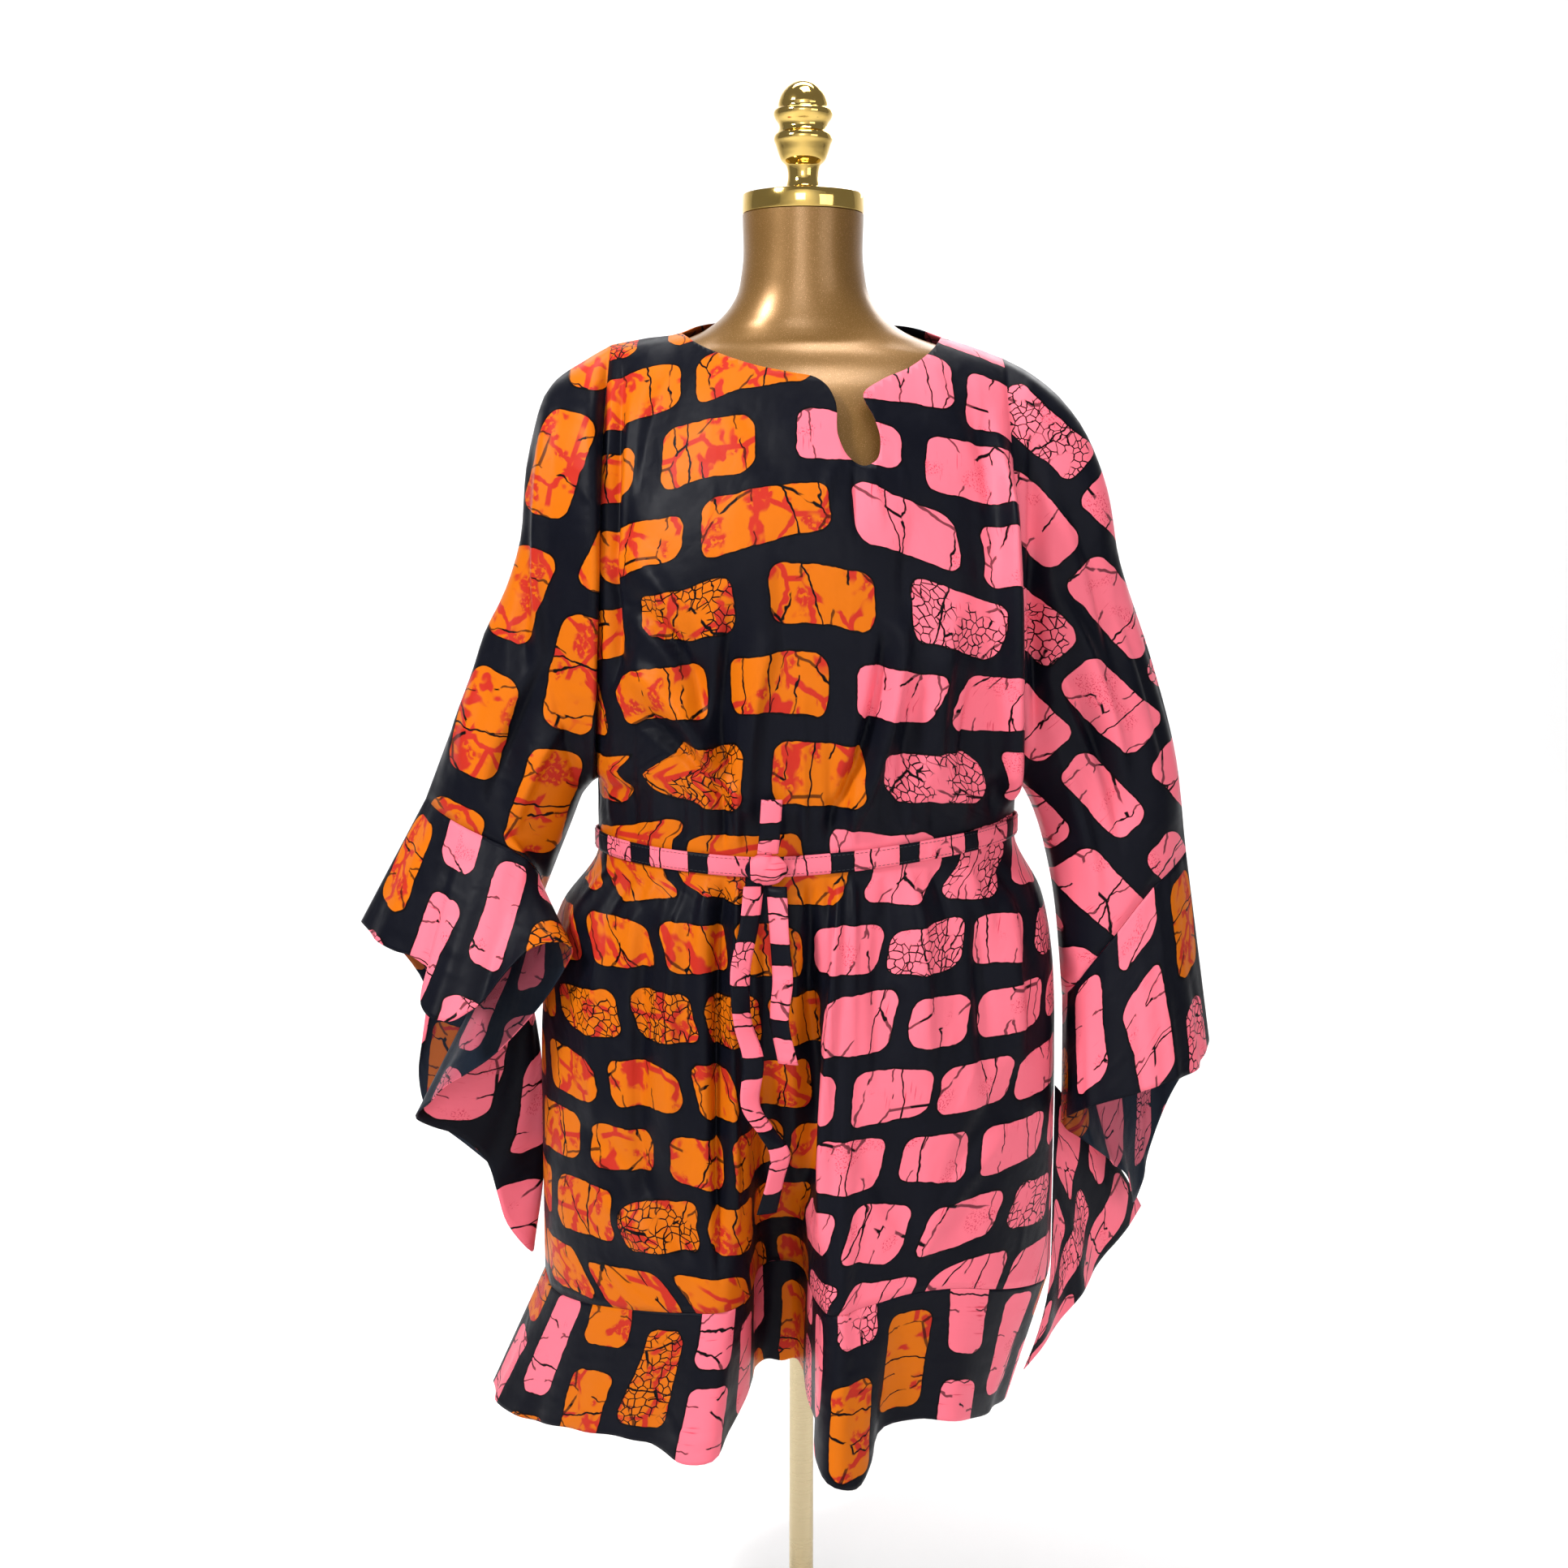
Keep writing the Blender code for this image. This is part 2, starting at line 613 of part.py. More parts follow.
def build_stand(group, gold, steel):
    cap = [
        (0.0, CAP_HEIGHT),
        (CAP_RADIUS - 0.001, CAP_HEIGHT),
        (CAP_RADIUS, CAP_HEIGHT - 0.001),
        (CAP_RADIUS, 0.001),
        (CAP_RADIUS - 0.001, 0.0),
        (0.0, 0.0),
    ]
    add_turned("neck_cap", cap, CAP_BOTTOM, group, gold, 36)
    add_turned("finial", FINIAL_PROFILE, CAP_BOTTOM + CAP_HEIGHT, group, gold, 20)
    pole_top = FORM_BOTTOM - SEAM_GAP
    collar_top = 0.052
    pole_foot = collar_top + SEAM_GAP
    pole = [(0.0, pole_top - pole_foot), (POLE_RADIUS, pole_top - pole_foot), (POLE_RADIUS, 0.0), (0.0, 0.0)]
    add_turned("stand_pole", pole, pole_foot, group, steel, 20)
    base = [
        (0.0, collar_top),
        (0.020, collar_top),
        (0.022, collar_top - 0.002),
        (0.022, BASE_HEIGHT + 0.006),
        (0.030, BASE_HEIGHT + 0.001),
        (BASE_RADIUS - 0.010, BASE_HEIGHT),
        (BASE_RADIUS - 0.003, BASE_HEIGHT - 0.003),
        (BASE_RADIUS, BASE_HEIGHT - 0.008),
        (BASE_RADIUS, 0.0),
        (0.0, 0.0),
    ]
    add_turned("stand_base", base, 0.0, group, steel, 36)


def build_garment(group, cutters, orange, pink):
    panels = {}
    wings = {}
    for side in ("front", "back"):
        body = body_panel(side)
        armholes = {-1: body[: ARM_ROWS + 1, 0], 1: body[: ARM_ROWS + 1, -1]}
        for hand in (-1, 1):
            wings[side, hand] = wing_panel(side, hand, armholes[hand])
        grids = [body, wings[side, -1], wings[side, 1]]
        panels[side] = body
        material = orange if side == "front" else pink
        panel = add_cloth(f"{side}_panel", grids, group, material)
        outline = FRONT_NECK if side == "front" else BACK_NECK
        opening = outline + [(outline[-1][0], 1.48), (outline[0][0], 1.48)]
        reach = -0.30 if side == "front" else 0.30
        cutter = add_cutter(f"{side}_neck_cutter", opening, -0.1 * reach, reach, cutters)
        cut(panel, cutter)
        table = FRONT_FOLDS if side == "front" else BACK_FOLDS
        hem = smooth_through([r[0] for r in table], [r[4:7] for r in table], columns_of(table))
        sign = -1 if side == "front" else 1
        hem = keep_off_middle(hem, sign)
        grid = flounce_grid(body[-2], body[-1], hem, FLOUNCE_ROWS)
        add_cloth(f"hem_flounce_{side}", [grid], group, pink)
    build_sleeve_flounces(wings, group, pink)
    build_side_flounce(panels["back"], group, pink)
    build_belt(panels, group, pink)


def build_sleeve_flounces(wings, group, material):
    for hand, side in ((-1, "right"), (1, "left")):
        table = SLEEVE_FLOUNCES[hand]
        count = 4 * ARM_ROWS
        top = cuff_points(hand, count)
        top[1 : count // 2] = keep_off_middle(top[1 : count // 2], -1)
        top[count // 2 + 1 : -1] = keep_off_middle(top[count // 2 + 1 : -1], 1)
        knots = [r[0] for r in table] + [1.0]
        values = [r[4:8] for r in table] + [table[0][4:8]]
        hem = smooth_through(knots, values, np.linspace(0, 1, count + 1))
        ring = np.concatenate([wings["front", hand][:, -2], wings["back", hand][-2::-1, -2]])
        places = np.linspace(0, len(ring) - 1, count + 1)
        index = np.arange(len(ring))
        before = np.stack([np.interp(places, index, ring[:, axis]) for axis in range(3)], axis=1)
        grid = flounce_grid(before, top, hem[:, :3], FLOUNCE_ROWS, hem[:, 3])[:, :-1]
        add_cloth(f"sleeve_flounce_{side}", [grid], group, material, closed=True)


def build_side_flounce(back, group, material):
    """A flounce that hangs from the side seam, with its edge just outside the back."""
    seam = back[ARM_ROWS + WAIST_ROWS :, -1]
    heights = [r[0] for r in SIDE_FLOUNCE]
    places = np.linspace(0, len(heights) - 1, 2 * len(heights) + 1)
    index = np.arange(len(heights))
    at = np.interp(places, index, heights)
    rising = seam[::-1]
    top = np.stack([np.interp(at, rising[:, 2], rising[:, axis]) for axis in range(3)], axis=1)
    top[:, 0] += SIDE_OUT
    top[:, 1] += SIDE_BEHIND
    hem = smooth_through(index, [r[1:4] for r in SIDE_FLOUNCE], places)
    grid = []
    for step in range(FLOUNCE_ROWS + 1):
        part = step / FLOUNCE_ROWS
        row = top + (hem - top) * part
        row[:, 0] += SIDE_BELLY * 4 * part * (1 - part)
        grid.append(row)
    add_cloth("side_flounce", [np.array(grid)], group, material)


def build_belt(panels, group, material):
    """The belt lies on the body's own points at the waist, moved out."""
    top = ARM_ROWS + 1
    rings = []
    for row in (top, top + 1):
        front = panels["front"][row]
        back = panels["back"][row][::-1]
        ring = np.concatenate([front, back[1:-1]])
        for corner, side in ((0, -1), (len(front) - 1, 1)):
            ring[corner, 0] += side * SEAM_HALF
            ring[corner, 1] = 0.0
        rings.append(ring)
    middle = (rings[0] + rings[1]) / 2
    after = np.roll(middle, -1, axis=0) - np.roll(middle, 1, axis=0)
    outward = unit(np.stack([after[:, 1], -after[:, 0]], axis=1))
    step = unit((np.roll(middle, -1, axis=0) - middle)[:, :2])
    across = np.abs(step[:, 1] * outward[:, 0] - step[:, 0] * outward[:, 1])
    outward /= np.clip(across, 0.5, 1.0)[:, None]
    rows = []
    for ring, height in ((rings[0], BELT_HALF), (rings[1], -BELT_HALF)):
        row = ring.copy()
        row[:, :2] += outward * (WALL / 2 + SEAM_GAP + BELT_WALL / 2)
        row[:, 2] = middle[:, 2] + height
        rows.append(row)
    add_cloth("tie_belt", [np.array(rows)], group, material, closed=True, wall=BELT_WALL)
    for name, table in TIE_TAILS.items():
        add_tail(name, table, group, material)
    bpy.ops.mesh.primitive_uv_sphere_add(segments=16, ring_count=10, radius=1.0)
    knot = bpy.context.object
    knot.name = "tie_knot"
    knot.data.transform(Matrix.Diagonal((KNOT["rx"], KNOT["ry"], KNOT["rz"], 1.0)))
    knot.location = (KNOT["x"], KNOT["y"], KNOT["z"])
    knot.data.shade_smooth()
    knot.data.materials.append(material)
    for old in list(knot.users_collection):
        old.objects.unlink(knot)
    group.objects.link(knot)


def add_tail(name, table, group, material):
    """A loose end of the belt: a strip along its centre line, turned as it hangs."""
    count = 2 * len(table) - 1
    places = np.linspace(0, len(table) - 1, count)
    line = smooth_through(np.arange(len(table)), table, places)
    half = TIE_WIDTH / 2
    left = []
    right = []
    for x, y, z, turn in line:
        angle = math.radians(turn)
        step = np.array([math.cos(angle) * half, math.sin(angle) * half, 0.0])
        centre = np.array([x, y, z])
        left.append(centre - step)
        right.append(centre + step)
    add_cloth(name, [np.array([left, right])], group, material, wall=WALL)


def main():
    clear_scene()
    group = make_collection("boubou_on_form")
    cutters = make_collection("cutters")
    orange = make_material("print_orange", COLOURS["print"], 0.5)
    pink = make_material("print_pink", COLOURS["print_pink"], 0.5)
    form = make_material("form_skin", COLOURS["form"], 0.35, 0.4)
    gold = make_material("gold_metal", COLOURS["gold"], 0.15, 1.0)
    steel = make_material("stand_metal", COLOURS["steel"], 0.3, 1.0)
    build_form(group, form)
    build_stand(group, gold, steel)
    build_garment(group, cutters, orange, pink)


main()
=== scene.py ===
# Looks for the short belted boubou tunic on its dress form.
# Metres, +Z up, front towards -Y.

import math

import bmesh
import bpy
import numpy as np
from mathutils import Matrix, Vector


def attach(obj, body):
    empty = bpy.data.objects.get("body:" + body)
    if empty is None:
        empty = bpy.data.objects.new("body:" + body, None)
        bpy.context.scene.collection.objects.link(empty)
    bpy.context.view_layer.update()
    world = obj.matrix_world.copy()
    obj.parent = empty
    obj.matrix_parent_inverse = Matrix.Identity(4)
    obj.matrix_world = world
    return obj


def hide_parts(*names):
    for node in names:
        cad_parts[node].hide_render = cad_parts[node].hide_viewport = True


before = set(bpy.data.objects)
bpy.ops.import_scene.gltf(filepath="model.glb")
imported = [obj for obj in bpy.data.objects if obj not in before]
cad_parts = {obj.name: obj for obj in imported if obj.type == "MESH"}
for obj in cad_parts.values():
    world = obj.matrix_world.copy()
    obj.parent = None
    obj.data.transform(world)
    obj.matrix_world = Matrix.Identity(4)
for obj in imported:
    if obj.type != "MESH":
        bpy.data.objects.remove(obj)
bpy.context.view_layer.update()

# Cloth
wall = 0.0016
seamGap = 0.0003
seamEdge = 0.0005
seamHalf = 0.0007
seamShare = 0.6  # of the seam's gap that a flounce's fine shell keeps
sideOut = 0.0020
sideBehind = 0.0022
sideBelly = 0.007

# Heights of the garment
underarmZ = 0.965
beltHalf = 0.0095
beltWall = 0.0018

# Half widths of the body between the two armholes, to the wearer's right (-) and left (+)
shoulderX = {-1: 0.182, 1: 0.190}
waistX = {-1: 0.201, 1: 0.209}
armholeDepth = 0.075

# Rows down the panels
armRows = 10
skirtRows = 8
flounceRows = 5

# Stand and form
baseRadius = 0.190
baseHeight = 0.014
poleRadius = 0.0125
formBottom = 0.722
formTop = 1.5015
capRadius = 0.0575
capBottom = 1.502
capHeight = 0.018

# Shoulder line: x, height of the fold between front and back
shoulderLine = [
    (-0.182, 1.3815),
    (-0.150, 1.3875),
    (-0.115, 1.3930),
    (-0.084, 1.4085),
    (-0.040, 1.4250),
    (0.000, 1.4300),
    (0.045, 1.4230),
    (0.090, 1.4055),
    (0.131, 1.3890),
    (0.160, 1.3800),
    (0.190, 1.3690),
]

# Depth of the body's middle below the shoulder line: drop, front, back
bodyDepth = [
    (0.000, 0.000, 0.000),
    (0.009, 0.034, 0.045),
    (0.020, 0.052, 0.064),
    (0.036, 0.069, 0.075),
    (0.078, 0.098, 0.090),
    (0.131, 0.122, 0.100),
    (0.190, 0.141, 0.110),
    (0.250, 0.152, 0.115),
    (0.310, 0.152, 0.115),
    (0.370, 0.148, 0.113),
    (0.440, 0.143, 0.113),
]
beltDepth = {"front": 0.130, "back": 0.112}
crownSquare = 2.6
crownPower = 0.6
beltClear = 0.003  # the panels' rows stand this far above and below the belt

# Belt line: place across the body, height
beltLine = [(-1.0, 0.907), (-0.6, 0.903), (-0.15, 0.900), (0.2, 0.905), (0.6, 0.914), (1.0, 0.921)]

# Front below the belt: place across, hem-seam x, y, z, hem x, y, z.
# The rows from -0.27 to 0.06 are the deep inverted fold at the centre front.
frontFolds = [
    (-1.00, -0.262, 0.000, 0.459, -0.318, 0.000, 0.335),
    (-0.94, -0.250, -0.050, 0.459, -0.300, -0.050, 0.331),
    (-0.86, -0.225, -0.090, 0.463, -0.268, -0.085, 0.333),
    (-0.74, -0.188, -0.125, 0.470, -0.225, -0.112, 0.340),
    (-0.60, -0.145, -0.150, 0.476, -0.180, -0.140, 0.346),
    (-0.46, -0.105, -0.165, 0.481, -0.135, -0.165, 0.344),
    (-0.34, -0.070, -0.170, 0.485, -0.088, -0.182, 0.343),
    (-0.27, -0.052, -0.135, 0.483, -0.056, -0.115, 0.370),
    (-0.20, -0.044, -0.060, 0.480, -0.045, -0.045, 0.374),
    (-0.10, -0.022, -0.035, 0.480, -0.020, -0.030, 0.371),
    (0.00, 0.002, -0.060, 0.480, 0.000, -0.050, 0.374),
    (0.06, 0.010, -0.135, 0.485, 0.006, -0.130, 0.365),
    (0.12, 0.022, -0.188, 0.490, 0.014, -0.205, 0.352),
    (0.24, 0.050, -0.185, 0.493, 0.048, -0.222, 0.335),
    (0.40, 0.095, -0.168, 0.500, 0.080, -0.170, 0.368),
    (0.60, 0.150, -0.145, 0.497, 0.136, -0.150, 0.368),
    (0.80, 0.206, -0.105, 0.480, 0.178, -0.110, 0.352),
    (0.92, 0.242, -0.055, 0.470, 0.203, -0.062, 0.345),
    (1.00, 0.254, 0.000, 0.468, 0.214, 0.000, 0.340),
]

sideSigns = {"front": -1, "back": 1}
foldEdges = (-0.34, 0.12)
foldStart = 0.30

# Back below the belt, with the same columns
backFolds = [
    (-1.00, -0.262, 0.000, 0.459, -0.318, 0.000, 0.335),
    (-0.90, -0.245, 0.060, 0.460, -0.295, 0.065, 0.325),
    (-0.75, -0.200, 0.105, 0.465, -0.235, 0.125, 0.318),
    (-0.60, -0.155, 0.135, 0.470, -0.170, 0.135, 0.322),
    (-0.45, -0.115, 0.150, 0.475, -0.135, 0.175, 0.318),
    (-0.30, -0.075, 0.155, 0.475, -0.080, 0.150, 0.324),
    (-0.15, -0.040, 0.160, 0.475, -0.040, 0.185, 0.320),
    (0.00, 0.000, 0.155, 0.475, 0.000, 0.150, 0.325),
    (0.15, 0.040, 0.160, 0.475, 0.045, 0.180, 0.320),
    (0.30, 0.075, 0.155, 0.475, 0.085, 0.150, 0.324),
    (0.45, 0.115, 0.150, 0.475, 0.125, 0.170, 0.318),
    (0.60, 0.155, 0.135, 0.470, 0.165, 0.130, 0.322),
    (0.75, 0.200, 0.105, 0.467, 0.200, 0.115, 0.320),
    (0.90, 0.242, 0.060, 0.468, 0.218, 0.060, 0.330),
    (1.00, 0.254, 0.000, 0.468, 0.214, 0.000, 0.340),
]

foldTables = {"front": frontFolds, "back": backFolds}

# Wing sleeves from the armhole outwards: top x, top z, underarm x, underarm z, half depth
wingRings = {
    -1: [
        (-0.206, 1.368, -0.206, 0.962, 0.080),
        (-0.240, 1.344, -0.210, 0.958, 0.078),
        (-0.262, 1.285, -0.215, 0.952, 0.072),
        (-0.275, 1.185, -0.219, 0.945, 0.068),
        (-0.310, 1.095, -0.228, 0.922, 0.066),
        (-0.345, 1.010, -0.245, 0.880, 0.064),
    ],
    1: [
        (0.212, 1.358, 0.213, 0.962, 0.072),
        (0.246, 1.332, 0.216, 0.958, 0.070),
        (0.285, 1.265, 0.221, 0.950, 0.066),
        (0.306, 1.180, 0.228, 0.935, 0.062),
        (0.338, 1.088, 0.238, 0.905, 0.058),
        (0.364, 1.000, 0.250, 0.850, 0.055),
    ],
}

# Fold beside each armhole, on the front: how far in or out, how far forward
sleeveFold = {-1: (0.014, 0.022), 1: (0.012, 0.028)}
leftFoldAt = {"across": 0.93, "width": 0.05, "top": 1.31, "ease": 0.08}

# Sleeve ends, round from the outer top by the front: seam x, y, z, hem x, y, z, belly in x between them
sleeveFlounces = {
    -1: [
        (0.00, -0.371, 0.000, 0.944, -0.437, -0.010, 0.822, 0.0),
        (0.06, -0.352, -0.035, 0.936, -0.403, -0.060, 0.808, 0.0),
        (0.12, -0.332, -0.052, 0.928, -0.364, -0.088, 0.798, 0.0),
        (0.18, -0.308, -0.063, 0.918, -0.360, -0.112, 0.762, 0.0),
        (0.24, -0.284, -0.070, 0.909, -0.332, -0.128, 0.752, 0.0),
        (0.30, -0.264, -0.070, 0.897, -0.298, -0.125, 0.775, 0.0),
        (0.35, -0.255, -0.060, 0.882, -0.255, -0.118, 0.820, 0.0),
        (0.39, -0.252, -0.048, 0.868, -0.219, -0.108, 0.822, 0.0),
        (0.43, -0.254, -0.032, 0.852, -0.228, -0.098, 0.792, 0.0),
        (0.47, -0.258, -0.014, 0.840, -0.262, -0.088, 0.744, 0.0),
        (0.50, -0.263, 0.000, 0.834, -0.302, -0.078, 0.702, 0.0),
        (0.55, -0.272, 0.018, 0.830, -0.350, -0.060, 0.668, 0.0),
        (0.60, -0.283, 0.030, 0.832, -0.386, -0.020, 0.622, 0.0),
        (0.65, -0.295, 0.038, 0.838, -0.352, 0.000, 0.600, 0.004),
        (0.70, -0.306, 0.044, 0.846, -0.320, 0.010, 0.565, 0.010),
        (0.75, -0.316, 0.048, 0.856, -0.303, 0.022, 0.495, 0.016),
        (0.79, -0.325, 0.049, 0.867, -0.275, 0.042, 0.456, 0.016),
        (0.83, -0.335, 0.048, 0.880, -0.318, 0.075, 0.530, 0.008),
        (0.87, -0.345, 0.042, 0.895, -0.390, 0.082, 0.590, 0.0),
        (0.91, -0.354, 0.034, 0.910, -0.400, 0.070, 0.655, 0.0),
        (0.95, -0.363, 0.020, 0.926, -0.384, 0.050, 0.730, 0.0),
        (0.98, -0.368, 0.008, 0.938, -0.408, 0.018, 0.790, 0.0),
    ],
    1: [
        (0.00, 0.380, 0.000, 0.891, 0.407, -0.010, 0.702, 0.0),
        (0.08, 0.362, -0.030, 0.880, 0.390, -0.052, 0.685, 0.0),
        (0.16, 0.338, -0.047, 0.862, 0.355, -0.080, 0.680, 0.0),
        (0.25, 0.308, -0.054, 0.825, 0.325, -0.092, 0.672, 0.0),
        (0.34, 0.281, -0.048, 0.787, 0.286, -0.085, 0.658, 0.0),
        (0.42, 0.266, -0.032, 0.760, 0.264, -0.060, 0.640, 0.0),
        (0.50, 0.261, 0.000, 0.745, 0.262, -0.015, 0.615, 0.0),
        (0.57, 0.267, 0.022, 0.755, 0.286, -0.032, 0.600, -0.004),
        (0.64, 0.284, 0.037, 0.775, 0.312, -0.008, 0.575, -0.010),
        (0.70, 0.305, 0.048, 0.800, 0.334, 0.012, 0.550, -0.008),
        (0.76, 0.326, 0.054, 0.830, 0.346, 0.040, 0.512, 0.0),
        (0.82, 0.347, 0.052, 0.854, 0.361, 0.060, 0.552, 0.0),
        (0.88, 0.363, 0.041, 0.872, 0.376, 0.055, 0.605, 0.0),
        (0.94, 0.375, 0.022, 0.885, 0.394, 0.030, 0.665, 0.0),
    ],
}

# Flounce down the wearer's left side: height on the side seam, hem x, y, z
sideFlounce = [
    (0.650, 0.362, 0.085, 0.492),
    (0.615, 0.342, 0.070, 0.468),
    (0.580, 0.316, 0.078, 0.430),
    (0.550, 0.296, 0.050, 0.408),
    (0.520, 0.272, 0.056, 0.374),
    (0.495, 0.252, 0.026, 0.360),
    (0.475, 0.232, 0.020, 0.338),
]

# Tie belt: centre of each loose end, x, y, z, turn of the strip in degrees
tieTails = {
    "tie_tail_long": [
        (-0.046, -0.1450, 0.8847, 15),
        (-0.050, -0.156, 0.850, 25),
        (-0.058, -0.166, 0.810, 20),
        (-0.056, -0.173, 0.765, 35),
        (-0.046, -0.180, 0.730, 10),
        (-0.049, -0.184, 0.690, 30),
        (-0.034, -0.188, 0.665, 40),
        (-0.022, -0.190, 0.645, 20),
        (-0.026, -0.190, 0.620, 35),
        (-0.034, -0.190, 0.588, 20),
    ],
    "tie_tail_short": [
        (-0.0245, -0.1450, 0.8847, -15),
        (-0.022, -0.158, 0.840, -25),
        (-0.019, -0.164, 0.800, -15),
        (-0.022, -0.170, 0.765, -30),
        (-0.014, -0.175, 0.725, -20),
    ],
    "tie_end_up": [
        (-0.033, -0.1440, 0.9150, 5),
        (-0.031, -0.149, 0.935, 0),
        (-0.029, -0.151, 0.966, 0),
    ],
}
tieWidth = 0.019
tiePrintStart = {"tie_tail_long": 0.0, "tie_tail_short": 0.305, "tie_end_up": 0.610}
knot = {"x": -0.034, "y": -0.1424, "z": 0.900, "rx": 0.020, "ry": 0.0095, "rz": 0.015}

# Dress form: height, half width, front depth, back depth, squareness
formSections = [
    (0.722, 0.118, 0.072, 0.080, 2.2),
    (0.734, 0.148, 0.096, 0.104, 2.3),
    (0.790, 0.166, 0.106, 0.116, 2.4),
    (0.850, 0.164, 0.104, 0.110, 2.4),
    (0.930, 0.142, 0.096, 0.088, 2.3),
    (1.020, 0.144, 0.106, 0.086, 2.3),
    (1.090, 0.153, 0.128, 0.090, 2.3),
    (1.150, 0.160, 0.140, 0.092, 2.2),
    (1.210, 0.170, 0.133, 0.090, 2.1),
    (1.270, 0.188, 0.117, 0.084, 2.0),
    (1.310, 0.198, 0.104, 0.074, 1.9),
    (1.338, 0.198, 0.090, 0.064, 1.8),
    (1.356, 0.186, 0.078, 0.060, 1.8),
    (1.371, 0.163, 0.070, 0.057, 1.8),
    (1.380, 0.132, 0.064, 0.056, 1.9),
    (1.391, 0.101, 0.061, 0.056, 2.0),
    (1.402, 0.083, 0.060, 0.057, 2.0),
    (1.411, 0.0735, 0.059, 0.058, 2.0),
    (1.424, 0.0645, 0.058, 0.058, 2.0),
    (1.450, 0.0580, 0.0575, 0.0575, 2.0),
    (formTop, 0.0572, 0.0572, 0.0572, 2.0),
]

# Finial, turned: radius, height above the cap
finialProfile = [
    (0.0, 0.1035),
    (0.0075, 0.1025),
    (0.0145, 0.0985),
    (0.0205, 0.0915),
    (0.0235, 0.0830),
    (0.0240, 0.0780),
    (0.0272, 0.0765),
    (0.0280, 0.0730),
    (0.0268, 0.0695),
    (0.0232, 0.0640),
    (0.0226, 0.0610),
    (0.0240, 0.0575),
    (0.0272, 0.0535),
    (0.0278, 0.0500),
    (0.0262, 0.0460),
    (0.0236, 0.0380),
    (0.0205, 0.0310),
    (0.0160, 0.0265),
    (0.0152, 0.0240),
    (0.0152, 0.0110),
    (0.0165, 0.0075),
    (0.0195, 0.0040),
    (0.0200, 0.0003),
    (0.0, 0.0003),
]

# Neck opening: x, height of the front neckline and its slit
frontNeck = [
    (-0.1165, 1.393),
    (-0.098, 1.379),
    (-0.075, 1.368),
    (-0.043, 1.357),
    (-0.010, 1.350),
    (0.012, 1.345),
    (0.021, 1.338),
    (0.028, 1.325),
    (0.031, 1.292),
    (0.041, 1.273),
    (0.054, 1.266),
    (0.065, 1.271),
    (0.069, 1.288),
    (0.064, 1.308),
    (0.054, 1.331),
    (0.071, 1.344),
    (0.097, 1.356),
    (0.120, 1.374),
    (0.132, 1.389),
]
backNeck = [
    (-0.1165, 1.393),
    (-0.098, 1.400),
    (-0.080, 1.405),
    (-0.045, 1.405),
    (0.000, 1.404),
    (0.045, 1.404),
    (0.088, 1.402),
    (0.112, 1.396),
    (0.132, 1.389),
]

# Fine cloth
shell = 0.0008
seamClose = 0.0004
fineRows = 7
fineColumns = 6
flounceFine = (8, 4)
tailFine = 8
# share by which the inner faces' print is darkened: painted shade of the garment's inside
insideShadeFade = 0.45
meetReach = 0.00002  # points this close are joined
cutterTop = 1.48
cutterReach = 0.30
beltShell = 0.0012
tailShell = 0.0016
tailCup = 0.0012
knotRipple = 0.07
knotGroove = 0.10
gatherGain = 2.1
gatherStart = 0.010  # from the belt's middle
gatherRise = 0.018
gatherUp = 0.055
gatherDown = 0.090
flapBelly = {"place": 0.74, "width": 0.07, "depth": 0.022}  # in the right sleeve's turned-up flounce
leftSleeveLine = np.array([0.72, -0.70])
lowGain = 2.0  # creases below the chest hang clear of the form
highGain = 1.2
steepSide = 0.55
gentleSide = 1.8

